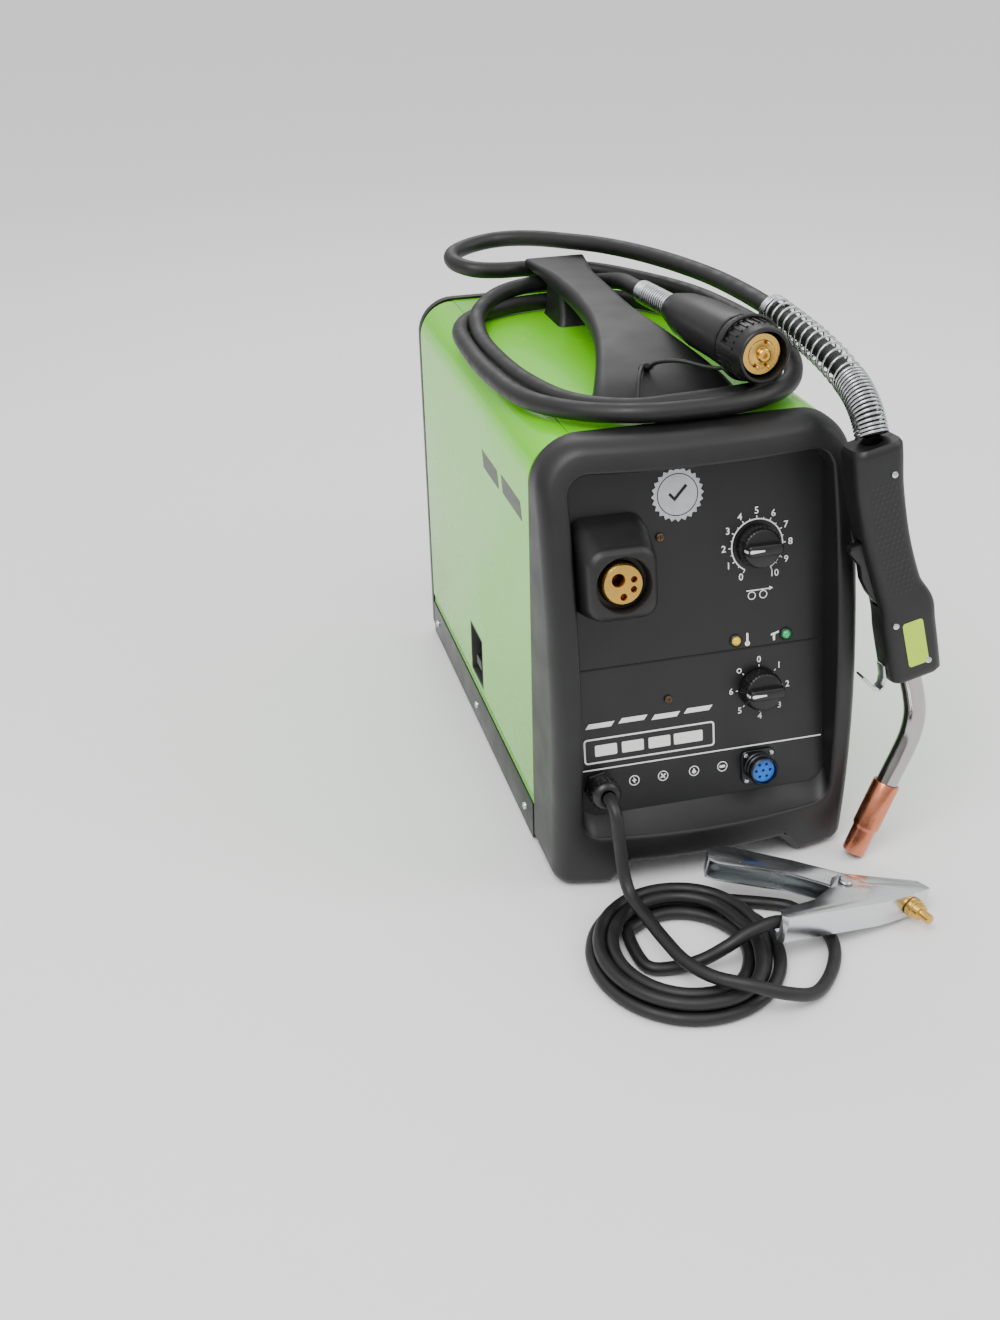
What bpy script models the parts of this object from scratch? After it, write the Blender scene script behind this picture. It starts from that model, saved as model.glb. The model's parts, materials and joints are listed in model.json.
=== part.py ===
"""A MIG wire-feed welding machine with its work lead and its torch stowed on the handle.

The origin is the bottom centre of the machine on the floor, +X is its right side seen from
the front, -Y its front and +Z up. Lengths below are millimetres, and MM turns them to metres.
"""
import math

import bmesh
import bpy
from mathutils import Matrix, Vector

MM = 0.001

# Driving dimensions
HALF_WIDTH = 125.0
FRONT_Y, REAR_Y = -255.0, 255.0
COVER_TOP, BEZEL_TOP, REAR_TOP = 357.0, 361.0, 359.0
COVER_FRONT_Y, COVER_REAR_Y = -167.5, 241.5
SHEET = 1.5
GAP = 0.3
CORNER_RADIUS = 32.0
RAIL_TOP = 37.5
ARCH_TOP, ARCH_HALF, FOOT_INNER = 20.0, 62.0, 80.0
PANEL_TILT = math.radians(10.25)
PANEL_Y, PANEL_Z = -225.0, 100.0
BEZEL_BOW, BEZEL_LEAN, BEZEL_BELLY_Z = 16.0, 44.0, 90.0
DOOR_BOTTOM, DOOR_REAR_Y, SEAM_X = 38.5, 239.0, -91.0
DOOR_HINGE = (-121.0, 236.0)
WORK_CABLE_D, TORCH_CABLE_D = 10.0, 15.0
SPOOL_CENTRE = (105.0, 150.0)
SPOOL_RADIUS, SPOOL_WIDTH = 100.0, 54.0
WIRE_X = -72.0


def clear_scene():
    for obj in list(bpy.data.objects):
        bpy.data.objects.remove(obj)


# ---------------------------------------------------------------- making tools
def material(name, colour, roughness, metallic=0.0):
    found = bpy.data.materials.get(name)
    if found:
        return found
    made = bpy.data.materials.new(name)
    made.use_nodes = True
    shader = made.node_tree.nodes["Principled BSDF"]
    shader.inputs["Base Color"].default_value = (*colour, 1.0)
    shader.inputs["Roughness"].default_value = roughness
    shader.inputs["Metallic"].default_value = metallic
    return made


BLACK_ABS = ("black_abs", (0.012, 0.012, 0.013), 0.45)
BLACK_RUBBER = ("black_rubber", (0.010, 0.010, 0.010), 0.6)
BLACK_SHEET = ("black_sheet", (0.014, 0.014, 0.015), 0.4)
GREEN_PAINT = ("green_paint", (0.25, 0.62, 0.01), 0.25)
GREY_STEEL = ("zinc_steel", (0.55, 0.56, 0.58), 0.35, 1.0)
BRASS = ("brass", (0.75, 0.5, 0.2), 0.3, 1.0)
COPPER = ("copper", (0.8, 0.35, 0.2), 0.3, 1.0)
CHROME = ("chrome", (0.75, 0.74, 0.72), 0.08, 1.0)
ALUMINIUM = ("aluminium", (0.7, 0.7, 0.72), 0.4, 1.0)
BLUE_PLASTIC = ("blue_plastic", (0.01, 0.2, 0.8), 0.4)
IRON = ("laminated_iron", (0.2, 0.2, 0.22), 0.5, 1.0)
BOARD_GREEN = ("board_green", (0.02, 0.2, 0.06), 0.5)
AMBER = ("amber_lens", (0.8, 0.5, 0.02), 0.2)
GREEN_LENS = ("green_lens", (0.02, 0.4, 0.1), 0.2)


def make(name, bm, finish, frame=None, smooth=35):
    """Turns a bmesh in millimetres into a named object placed by a frame in metres."""
    bmesh.ops.scale(bm, vec=(MM, MM, MM), verts=bm.verts)
    bmesh.ops.recalc_face_normals(bm, faces=bm.faces)
    mesh = bpy.data.meshes.new(name)
    bm.to_mesh(mesh)
    bm.free()
    mesh.shade_smooth()
    mesh.set_sharp_from_angle(angle=math.radians(smooth))
    obj = bpy.data.objects.new(name, mesh)
    bpy.context.scene.collection.objects.link(obj)
    obj.data.materials.append(material(*finish))
    if frame is not None:
        obj.matrix_world = frame
    return obj


def at(x, y, z):
    return Matrix.Translation(Vector((x, y, z)) * MM)


def frame_from(origin, z_axis, x_hint):
    """A frame at an origin in millimetres with its Z along z_axis."""
    z = Vector(z_axis).normalized()
    x = (Vector(x_hint) - z * Vector(x_hint).dot(z)).normalized()
    y = z.cross(x)
    turn = Matrix((x, y, z)).transposed().to_4x4()
    return Matrix.Translation(Vector(origin) * MM) @ turn


def panel_frame(x, up, out=0.0):
    """A frame on the control panel: X right, Y up the panel, Z out of it."""
    up_axis = Vector((0, math.sin(PANEL_TILT), math.cos(PANEL_TILT)))
    out_axis = Vector((0, -math.cos(PANEL_TILT), math.sin(PANEL_TILT)))
    origin = Vector((x, PANEL_Y, PANEL_Z)) + up_axis * up + out_axis * out
    return frame_from(origin, out_axis, (1, 0, 0))


def panel_y(z):
    return PANEL_Y + (z - PANEL_Z) * math.tan(PANEL_TILT)


def loft(rings, closed=False):
    """Skins rings of equal length: capped at both ends, or joined round as a torus."""
    bm = bmesh.new()
    rows = [[bm.verts.new(p) for p in ring] for ring in rings]
    count = len(rows[0])
    pairs = list(zip(rows, rows[1:]))
    if closed:
        pairs.append((rows[-1], rows[0]))
    for low, high in pairs:
        for i in range(count):
            j = (i + 1) % count
            bm.faces.new((low[i], low[j], high[j], high[i]))
    if not closed:
        bm.faces.new(rows[0])
        bm.faces.new(rows[-1])
    return bm


def block(low, high):
    (x0, y0, z0), (x1, y1, z1) = low, high
    ring = [(x0, y0), (x1, y0), (x1, y1), (x0, y1)]
    return loft([[(x, y, z) for x, y in ring] for z in (z0, z1)])


def turned(profile, steps=24, sides_from=0.0):
    """Turns (radius, height) pairs about Z; a profile that starts off the axis is a tube."""
    angles = [sides_from + math.tau * i / steps for i in range(steps)]
    rings = [[(r * math.cos(a), r * math.sin(a), h) for a in angles] for r, h in profile]
    return rings


def solid_turn(profile, steps=24, sides_from=0.0):
    return loft(turned(profile, steps, sides_from))


def tube_turn(profile, steps=24, sides_from=0.0):
    return loft(turned(profile, steps, sides_from), closed=True)


def prism(outline, low, high, axis="z"):
    """A straight solid over an outline; axis is the one it runs along."""
    put = {"z": lambda a, b, h: (a, b, h), "y": lambda a, b, h: (a, h, b),
           "x": lambda a, b, h: (h, a, b)}[axis]
    return loft([[put(a, b, h) for a, b in outline] for h in (low, high)])


def combine(obj, others, operation):
    """Applies Booleans with other objects, which are used up."""
    for other in others:
        step = obj.modifiers.new("boolean", "BOOLEAN")
        step.operation = operation
        step.object = other
    bpy.context.view_layer.update()
    graph = bpy.context.evaluated_depsgraph_get()
    result = bpy.data.meshes.new_from_object(obj.evaluated_get(graph))
    obj.modifiers.clear()
    obj.data = result
    for other in others:
        bpy.data.objects.remove(other)
    return obj


def cut(obj, *cutters):
    return combine(obj, cutters, "DIFFERENCE")


def add(obj, *others):
    return combine(obj, others, "UNION")


def rounded_rect(half_x, half_y, radius, steps=4, centre=(0.0, 0.0)):
    points = []
    for quarter, (sx, sy) in enumerate(((1, 1), (-1, 1), (-1, -1), (1, -1))):
        for i in range(steps + 1):
            a = math.pi / 2 * (quarter + i / steps)
            points.append((centre[0] + sx * (half_x - radius) + radius * math.cos(a),
                           centre[1] + sy * (half_y - radius) + radius * math.sin(a)))
    return points


# ---------------------------------------------------------------- casing
def front_outline(bottom, side_x, side_heights, corner, top_z, top_x):
    """A closed outline in x and z, mirrored about x = 0, from the bottom centre round."""
    right = list(bottom) + [(side_x, z) for z in side_heights]
    for i in range(7):
        a = math.pi / 2 * i / 6
        right.append((side_x - corner + corner * math.cos(a), top_z - corner + corner * math.sin(a)))
    right += [(x, top_z) for x in top_x]
    left = [(-x, z) for x, z in reversed(right[1:])]
    return right + [(0.0, top_z)] + left


FOOTED_BOTTOM = [(0, ARCH_TOP), (ARCH_HALF, ARCH_TOP), (FOOT_INNER, 0), (105, 0), (119, 0),
                 (HALF_WIDTH, 6)]


def inset(outline, distance):
    moved = []
    count = len(outline)
    for i, (x, z) in enumerate(outline):
        before, after = outline[i - 1], outline[(i + 1) % count]
        a = Vector((x - before[0], z - before[1])).normalized()
        b = Vector((after[0] - x, after[1] - z)).normalized()
        inward = Vector((-a.y - b.y, a.x + b.x)).normalized()
        reach = distance / max(0.5, inward.dot(Vector((-a.y, a.x))))
        moved.append((x + inward.x * reach, z + inward.y * reach))
    return moved


def bezel_face_y(x, z):
    lean = BEZEL_LEAN * ((z - BEZEL_BELLY_Z) / 247.0) ** 2
    return FRONT_Y + lean + BEZEL_BOW * (x / 120.0) ** 2


def front_bezel():
    outer = front_outline(FOOTED_BOTTOM, HALF_WIDTH, (60, 120, 180, 240, 300), 38.0, BEZEL_TOP, (60, 30))
    opening = front_outline([(0, 50), (40, 50), (75, 50), (88, 50), (99, 54), (104, 64)],
                            104.0, (90, 140, 190, 240, 290), 16.0, 338.0, (60, 30))
    floor_line = front_outline([(0, 64), (40, 64), (70, 64), (86, 64), (98, 67), (103, 76)],
                               103.0, (94, 140, 190, 240, 290), 15.0, 334.0, (60, 30))
    flange = front_outline([(0, 45), (45, 45), (78, 45), (95, 45), (110, 47), (117, 58)],
                           117.0, (80, 130, 190, 240, 295), 32.0, 353.0, (60, 30))
    wall = 4.0

    def ring(outline, y_of):
        return [(x, y_of(x, z), z) for x, z in outline]

    rings = [
        ring(outer, lambda x, z: COVER_FRONT_Y - 1.0),
        ring(outer, lambda x, z: bezel_face_y(x, z) + 14),
        ring(inset(outer, 2), lambda x, z: bezel_face_y(x, z) + 6),
        ring(inset(outer, 6), lambda x, z: bezel_face_y(x, z) + 1.5),
        ring(inset(outer, 9.5), bezel_face_y),
        ring(inset(opening, -3), bezel_face_y),
        ring(opening, lambda x, z: bezel_face_y(x, z) + 3),
        ring(floor_line, lambda x, z: panel_y(z)),
        ring(flange, lambda x, z: panel_y(z)),
        ring(inset(outer, wall), lambda x, z: bezel_face_y(x, z) + wall + 1),
        ring(inset(outer, wall), lambda x, z: COVER_FRONT_Y - 1.0),
    ]
    return make("front_bezel", loft(rings, closed=True), BLACK_ABS)


def control_plate():
    plate = make("control_plate", prism(rounded_rect(109, 145, 10, centre=(0, 102)), -2.3, -GAP),
                 BLACK_SHEET, panel_frame(0, 0))
    holes = ((WIRE_X, 160, 18.0), (-87, -12, 8.5), (46, -16, 12.6), (48.6, 166, 5.0), (48.6, 49.8, 5.0),
             (29.8, 91.5, 4.0), (71.7, 91.5, 4.0))
    cutters = [make("hole", solid_turn([(r, -6), (r, 6)], 16), BLACK_ABS, panel_frame(x, up))
               for x, up, r in holes]
    return cut(plate, *cutters)


def fold(side, edge, end_x, inner=0.0):
    """Points up one side of the casing and over its rounded corner; inner moves them inwards."""
    centre_x, centre_z, r = HALF_WIDTH - CORNER_RADIUS, COVER_TOP - CORNER_RADIUS, CORNER_RADIUS - inner
    points = [(side * (HALF_WIDTH - inner), edge)]
    for i in range(7):
        a = math.pi / 2 * i / 6
        points.append((side * (centre_x + r * math.cos(a)), centre_z + r * math.sin(a)))
    return points + [(end_x, COVER_TOP - inner)]


def top_cover():
    """The right side, the top and a stiffening lip down the top's left edge, folded from one sheet."""
    outside = fold(1, RAIL_TOP + 0.5, SEAM_X) + [(SEAM_X, COVER_TOP - 11)]
    inside = fold(1, RAIL_TOP + 0.5, SEAM_X + SHEET, SHEET) + [(SEAM_X + SHEET, COVER_TOP - 11)]
    cover = make("top_cover", prism(outside + inside[::-1], COVER_FRONT_Y, COVER_REAR_Y, "y"), GREEN_PAINT)
    louvres = [make("slot", block((110, -60 + 16 * i, 250), (140, -52 + 16 * i, 300)), BLACK_ABS)
               for i in range(9)]
    return cut(cover, *louvres)


KNUCKLE_HEIGHTS = (100, 180, 260)


def upright(name, profile, x, y, z, steps, finish):
    return make(name, solid_turn(profile, steps), finish, at(x, y, z))


def side_door():
    """The left side and its rounded top corner in one panel, on an upright hinge at its rear edge."""
    x0, y0, y1 = -HALF_WIDTH, COVER_FRONT_Y + 0.5, DOOR_REAR_Y
    outside = fold(-1, DOOR_BOTTOM, SEAM_X - 1.2)
    inside = fold(-1, DOOR_BOTTOM, SEAM_X - 1.2, SHEET)
    door = make("side_door", prism(outside + inside[::-1], y0, y1, "y"), GREEN_PAINT)
    lip = make("lip", block((x0 + 0.2, y0 + 0.1, DOOR_BOTTOM + 0.1), (x0 + 9, y1 - 12, DOOR_BOTTOM + SHEET)), GREEN_PAINT)
    end = make("end", block((x0 + 0.2, y0 + 0.2, DOOR_BOTTOM + 0.2), (x0 + 9, y0 + SHEET, 322)), GREEN_PAINT)
    hx, hy = DOOR_HINGE
    knuckles = [upright("knuckle", [(2.6, -14), (2.6, 14)], hx, hy, z, 10, GREEN_PAINT) for z in KNUCKLE_HEIGHTS]
    bores = [upright("bore", [(1.35, -15), (1.35, 15)], hx, hy, z, 10, GREEN_PAINT) for z in KNUCKLE_HEIGHTS]
    slot = make("slot", block((x0 - 5, 10.0, 52.0), (x0 + 5, 58.0, 104.0)), GREEN_PAINT)
    add(door, lip, end, *knuckles)
    return cut(door, slot, *bores)


def door_hinge_pin():
    """The pin, on a leaf with its own knuckles and a spacer strip fixed to the rear panel."""
    hx, hy = DOOR_HINGE
    pin = upright("door_hinge_pin", [(1.0, 62), (1.0, 312)], hx, hy, 0, 8, GREY_STEEL)
    knuckles = [upright("knuckle", [(1.7, -9), (1.7, 9)], hx, hy, z, 8, GREY_STEEL) for z in (72, 140, 220, 302)]
    leaf = make("leaf", block((hx + 0.1, hy + 1.0, 64), (hx + 17, hy + 2.2, 310)), GREY_STEEL)
    spacer = make("spacer", block((hx + 9, hy + 1.1, 64.1), (hx + 16.9, hy + 5.6, 309.9)), GREY_STEEL)
    reliefs = [make("relief", block((hx - 4, hy - 6, z - 17), (hx + 4, hy + 6, z + 17)), GREY_STEEL)
               for z in KNUCKLE_HEIGHTS]
    cut(leaf, *reliefs)
    return add(pin, leaf, spacer, *knuckles)


def door_latch():
    """A recessed pull cup in the door, with a catch slid up to its open place."""
    x0 = -HALF_WIDTH
    cup = make("door_latch_cup", block((x0, 10.4, 52.4), (x0 + 15, 57.6, 103.6)), BLACK_ABS)
    flange = make("flange", block((x0 + SHEET + GAP, 6, 48), (x0 + SHEET + 2.3, 62, 108)), BLACK_ABS)
    pocket = make("pocket", block((x0 - 3, 13, 55), (x0 + 13, 55, 101)), BLACK_ABS)
    window = make("window", block((x0 + 11, 24, 53.5), (x0 + 20, 44, 84)), BLACK_ABS)
    add(cup, flange)
    cut(cup, pocket, window)
    slider = make("door_latch_slider", block((x0 + 2, 24.6, 65), (x0 + 18.5, 43.4, 74)), BLACK_ABS)
    bolt = make("bolt", block((x0 + 16.2, 26, 39), (x0 + 18.6, 42, 73)), BLACK_ABS)
    add(slider, bolt)
    return cup, slider


def base_pan():
    pan = make("base_pan", block((-HALF_WIDTH, -163.0, 3.0), (HALF_WIDTH, COVER_REAR_Y, RAIL_TOP)), BLACK_SHEET)
    hollow = make("hollow", block((-HALF_WIDTH + 2, -161.0, 5.0), (HALF_WIDTH - 2, COVER_REAR_Y - 2, RAIL_TOP + 9)),
                  BLACK_SHEET)
    catch = make("catch", block((-HALF_WIDTH + 13.5, 24, 4), (-HALF_WIDTH + 15.5, 44, 36)), BLACK_SHEET)
    cut(pan, hollow)
    return add(pan, catch)


def rear_panel():
    outer = front_outline(FOOTED_BOTTOM, HALF_WIDTH, (60, 120, 180, 240, 300), CORNER_RADIUS + 2, REAR_TOP,
                          (60, 30))

    def ring(outline, y):
        return [(x, y, z) for x, z in outline]

    rings = [ring(inset(outer, 3), 247.0), ring(inset(outer, 3), COVER_REAR_Y + 0.5),
             ring(outer, COVER_REAR_Y + 0.5), ring(outer, REAR_Y - 4), ring(inset(outer, 3), REAR_Y),
             ring(inset(outer, 8), REAR_Y), ring(inset(outer, 9), 250.0)]
    panel = make("rear_panel", loft(rings), BLACK_ABS)
    cutters = [make("hole", solid_turn([(r, -20), (r, 20)], 16), BLACK_ABS,
                    frame_from((x, 250, z), (0, 1, 0), (1, 0, 0))) for x, z, r in REAR_HOLES]
    for row in range(-3, 4):
        z = FAN_Z + 13 * row
        reach = math.sqrt((FAN_R + 3) ** 2 - (13 * abs(row) + 4.5) ** 2)
        for side in (-1, 1):
            low, high = sorted((FAN_X + side * 2.5, FAN_X + side * reach))
            cutters.append(make("vent", block((low, 235, z - 4.5), (high, 265, z + 4.5)), BLACK_ABS))
    return cut(panel, *cutters)


FAN_X, FAN_Z, FAN_R = 50.0, 200.0, 46.0
MAINS_X, MAINS_Z = 60.0, 75.0
GAS_X, GAS_Z = -60.0, 75.0
REAR_HOLES = ((MAINS_X, MAINS_Z, 10.5), (GAS_X, GAS_Z, 8.5))


def carry_handle():
    """A wide front leg that sweeps up and back into the grip, with a post under its rear."""
    sections = (  # centre y, centre z, half width, half thickness, lean of the section from level
        (-114, 357.6, 59, 15, 0), (-104, 361.5, 56, 13, 35), (-87, 369, 49, 10, 60), (-52, 378.5, 37, 9, 72),
        (-15, 384, 28, 9, 82), (30, 387.5, 21.5, 9.5, 87), (85, 391, 20, 9.5, 90), (140, 392.5, 21, 8.5, 90),
        (172, 395.5, 25, 5.5, 90), (200, 397, 29, 4, 90))
    rings = []
    for y, z, half, thick, lean in sections:
        a = math.radians(lean)
        across = Vector((0, -math.cos(a), math.sin(a)))
        corner = min(thick * 0.6, 7.0)
        ring = []
        for u, v in rounded_rect(half, thick, corner, 3):
            ring.append(Vector((0, y, z)) + Vector((u, 0, 0)) + across * v)
        rings.append(ring)
    handle = make("carry_handle", loft(rings), BLACK_ABS)
    post_rings = []
    for z, half_x, y0, y1 in ((COVER_TOP + GAP, 20, 114, 172), (364, 18, 117, 170), (391, 17, 125, 170)):
        outline = rounded_rect(half_x, (y1 - y0) / 2, 6, 3, centre=(0, (y0 + y1) / 2))
        post_rings.append([(x, y, z) for x, y in outline])
    post = make("post", loft(post_rings), BLACK_ABS)
    foot = make("foot", block((-70, -150, COVER_TOP - 9), (70, -50, COVER_TOP + GAP)), BLACK_ABS)
    tie_hole = make("tie_hole", solid_turn([(5, -40), (5, 40)], 12), BLACK_ABS,
                    at(-8, -85, 372))
    add(handle, post)
    return cut(handle, foot, tie_hole)


# ---------------------------------------------------------------- front panel fittings
def torch_socket_housing():
    """A moulded hood round the torch socket, its face parallel to the panel."""
    levels = ((GAP, 30, 30, 44, 12), (2.5, 30, 30, 44, 12), (22, 28.5, 29, 36, 12), (37, 27, 28, 28, 12),
              (41, 25, 26, 26, 11), (42, 22, 23, 23, 9))
    rings = []
    for out, half, down, up, radius in levels:
        outline = rounded_rect(half, (down + up) / 2, radius, 4, centre=(0, (up - down) / 2))
        rings.append([(x, y, out) for x, y in outline])
    hood = make("torch_socket_housing", loft(rings), BLACK_ABS, panel_frame(WIRE_X, 160))
    bore = make("bore", solid_turn([(17, -5), (17, 50)], 28), BLACK_ABS, panel_frame(WIRE_X, 160))
    mouth = make("mouth", solid_turn([(20.5, 31), (21, 50)], 28), BLACK_ABS, panel_frame(WIRE_X, 160))
    return cut(hood, bore, mouth)


def torch_socket():
    body = make("torch_socket", solid_turn([(16.5, -14), (16.5, 38), (15.5, 39)], 28), BRASS,
                panel_frame(WIRE_X, 160))
    holes = [make("hole", solid_turn([(r, depth), (r, 50)], 14), BRASS, panel_frame(WIRE_X + x, 160 + y))
             for x, y, r, depth in ((-3.5, 3.5, 5.0, -30), (8.5, 3.0, 2.2, 28), (8.0, -4.5, 2.2, 28),
                                    (0.0, -9.5, 2.4, 28))]
    return cut(body, *holes)


def work_lead_gland():
    """A hexagonal body clamped in the panel with a domed nut, bored for the cable."""
    frame = panel_frame(-87, -12)
    body = make("work_lead_gland", tube_turn([(8.0, -10), (8.0, 1.0), (8.0, 1.1), (8.0, 24), (6.0, 25),
                                             (5.6, 25), (5.6, -10)], 20), BLACK_ABS, frame)
    hexagon = make("hexagon", tube_turn([(12.5, GAP), (12.5, 9), (11.8, 9.6), (11.8, 11), (12.2, 11.5), (12.2, 21),
                                         (9.0, 24.5), (6.5, 24.5), (6.5, GAP)], 6, 0.2), BLACK_ABS, frame)
    return add(body, hexagon)


def remote_socket():
    frame = panel_frame(46, -16)
    shell = make("remote_socket_shell", tube_turn([(15, GAP), (15, 2.2), (12, 2.4), (12, 15), (11.2, 15.8),
                                                   (10.2, 15.8), (10.0, 15), (10.0, -8), (12, -8), (12, GAP)], 18),
                 BLACK_SHEET, frame)
    insert = make("remote_socket_insert", solid_turn([(9.6, -6), (9.6, 11.5), (9.2, 12)], 18), BLUE_PLASTIC, frame)
    pins = [make("pin_hole", solid_turn([(1.1, 6), (1.1, 14)], 8), BLUE_PLASTIC,
                 frame @ at(5.8 * math.cos(math.tau * i / 6) if i < 6 else 0.0,
                            5.8 * math.sin(math.tau * i / 6) if i < 6 else 0.0, 0)) for i in range(7)]
    return shell, cut(insert, *pins)


def knob(name, up, pointer_angle, shaft):
    """A round knob with a raised grip bar along its pointer, and a shaft into its switch."""
    frame = panel_frame(48.6, up) @ Matrix.Rotation(math.radians(pointer_angle), 4, "Z")
    body = make(name, solid_turn([(16.5, 0.8), (17, 2.5), (15.5, 11), (14, 12.5)], 28), BLACK_ABS, frame)
    bar = make("bar", loft([[(x, y, z) for x, y in rounded_rect(15.3 - s, 4.6 - s, 3.0 - s)]
                            for z, s in ((6, 0.0), (18, 0.6), (19, 1.8))]), BLACK_ABS, frame)
    stem = make("stem", solid_turn([(3.0, -shaft), (3.0, 3)], 14), BLACK_ABS, frame)
    return add(body, bar, stem)


def lamp(name, x, finish):
    return make(name, solid_turn([(3.7, -6), (3.7, 0.4), (3.6, 1.6), (2.9, 2.6), (1.6, 3.2), (0.5, 3.4)], 16),
                finish, panel_frame(x, 91.5))


def switch_bodies():
    pot = make("potentiometer", solid_turn([(8.5, -13), (8.5, -2.6)], 20), GREY_STEEL, panel_frame(48.6, 166))
    cut(pot, make("bore", solid_turn([(3.5, -11), (3.5, 0)], 14), GREY_STEEL, panel_frame(48.6, 166)))
    box = make("selector_switch", prism(rounded_rect(15, 15, 2, 2), -28, -2.6), BLACK_ABS, panel_frame(48.6, 49.8))
    cut(box, make("bore", solid_turn([(3.5, -20), (3.5, 0)], 14), BLACK_ABS, panel_frame(48.6, 49.8)))
    return pot, box


# ---------------------------------------------------------------- wire compartment
def centre_partition():
    sheet = make("centre_partition", block((-11, -150, 5.3), (-9.5, 238, 350)), GREY_STEEL)
    foot = make("foot", block((-22, -150, 5.3), (-10, 238, 6.8)), GREY_STEEL)
    motor_hole = make("motor_hole", solid_turn([(27, -20), (27, 20)], 16), GREY_STEEL,
                      frame_from((-10, DRIVE_Y, DRIVE_Z), (1, 0, 0), (0, 1, 0)))
    add(sheet, foot)
    return cut(sheet, motor_hole)


DRIVE_Y = -110.0
WIRE_Z = PANEL_Z + 160 * math.cos(PANEL_TILT) - (DRIVE_Y - PANEL_Y - 160 * math.sin(PANEL_TILT)) * math.tan(PANEL_TILT)
DRIVE_ROLL_R, PRESSURE_ROLL_R = 15.0, 11.0
DRIVE_Z = WIRE_Z - DRIVE_ROLL_R - 0.5
PRESSURE_Z = WIRE_Z + PRESSURE_ROLL_R + 0.5
ARM_PIVOT = (-66.0, 268.0)
TENSION_Y, STOP_Z = -156.0, 214.0


def drive_body():
    """The cast plate of the wire drive, with the guide tubes and the bosses that its arms turn on."""
    body = make("drive_body", block((-60, -162, 200), (-54, -58, 290)), ALUMINIUM)
    stand = [make("stand", block((-54.1, y, z), (-11.3, y + 8, z + 8)), ALUMINIUM)
             for y, z in ((-160, 202), (-68, 202), (-160, 280), (-68, 280))]
    guide = make("guide", solid_turn([(5, -45), (5, -21.5)], 12), ALUMINIUM,
                 frame_from((WIRE_X, DRIVE_Y, WIRE_Z), (0, -math.cos(PANEL_TILT), math.sin(PANEL_TILT)), (1, 0, 0)))
    guide_out = make("guide_out", solid_turn([(5, 21.5), (5, 41.5)], 12), ALUMINIUM,
                     frame_from((WIRE_X, DRIVE_Y, WIRE_Z), (0, -math.cos(PANEL_TILT), math.sin(PANEL_TILT)), (1, 0, 0)))
    arms = [make("arm", block((WIRE_X, y, WIRE_Z + lift - 4), (-56, y + 8, WIRE_Z + lift + 4)), ALUMINIUM)
            for y, lift in ((-150, 7), (-82, -5))]
    pivots = [make("pivot", solid_turn([(3.5, 0), (3.5, 27)], 12), ALUMINIUM,
                   frame_from((-57, y, z), (-1, 0, 0), (0, 1, 0))) for y, z in (ARM_PIVOT, (TENSION_Y, STOP_Z))]
    add(body, guide, guide_out, *stand, *arms, *pivots)
    return cut(body, make("hole", solid_turn([(9, -20), (9, 20)], 20), ALUMINIUM,
                          frame_from((-57, DRIVE_Y, DRIVE_Z), (1, 0, 0), (0, 1, 0))))


def drive_motor():
    frame = frame_from((0, DRIVE_Y, DRIVE_Z), (1, 0, 0), (0, 1, 0))
    return make("drive_motor", solid_turn([(25, -53.6), (26, -52), (26, 30), (24, 42), (10, 43)], 16), IRON, frame)


def drive_roll():
    """The grooved roll on its hub and shaft."""
    frame = frame_from((WIRE_X, DRIVE_Y, DRIVE_Z), (1, 0, 0), (0, 1, 0))
    return make("drive_roll", solid_turn([(6, -11), (9, -10), (9, -6), (14.9, -5.8), (15, -5), (15, -1.2),
                                          (14.2, 0), (15, 1.2), (15, 5), (14.9, 5.8), (8, 6.2), (8, 17.8)], 18),
                GREY_STEEL, frame)


def pressure_arm():
    """The arm that carries the pressure roll, forked at its front for the tension rod."""
    y, z = ARM_PIVOT
    frame = at(WIRE_X, y, z)
    bar = make("pressure_arm", prism(rounded_rect(6, 9, 4, 3, centre=(0, 0)), -6, 10, "x"), ALUMINIUM, frame)
    beam = make("beam", block((-6, -103, -3.2), (5.8, 4, 5)), ALUMINIUM, frame)
    hub = make("hub", block((2.5, -52, -20), (5.8, -36, 0)), ALUMINIUM, frame)
    pin = make("roll_pin", solid_turn([(2.6, -5), (2.6, 4)], 12), ALUMINIUM,
               frame_from((WIRE_X, DRIVE_Y, PRESSURE_Z), (1, 0, 0), (0, 1, 0)))
    add(bar, beam, hub, pin)
    bore = make("bore", solid_turn([(3.9, -20), (3.9, 20)], 14), ALUMINIUM,
                frame_from((WIRE_X, y, z), (1, 0, 0), (0, 1, 0)))
    fork = make("fork", block((-4, -110, -20), (4, -82, 20)), ALUMINIUM, frame)
    return cut(bar, bore, fork)


def pressure_roll():
    frame = frame_from((WIRE_X, DRIVE_Y, PRESSURE_Z), (1, 0, 0), (0, 1, 0))
    return make("pressure_roll", tube_turn([(3.0, -4.5), (10.6, -4.5), (11, -4), (11, 1.6), (10.6, 2.1), (3.0, 2.1)],
                                           24), GREY_STEEL, frame)


def tension_knob():
    """The pressure screw in the arm's fork: a rod with a collar under the arm and a knob above it."""
    return make("tension_knob", solid_turn([(2.2, -48), (2.2, -10), (6, -9.8), (6, -5.5), (2.2, -5.3), (2.2, 6),
                                            (6.5, 6.2), (6.5, 9.5), (9, 10), (9.5, 13), (9.5, 32), (8, 34)], 14),
                BLACK_ABS, at(WIRE_X, TENSION_Y, ARM_PIVOT[1]))


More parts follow.
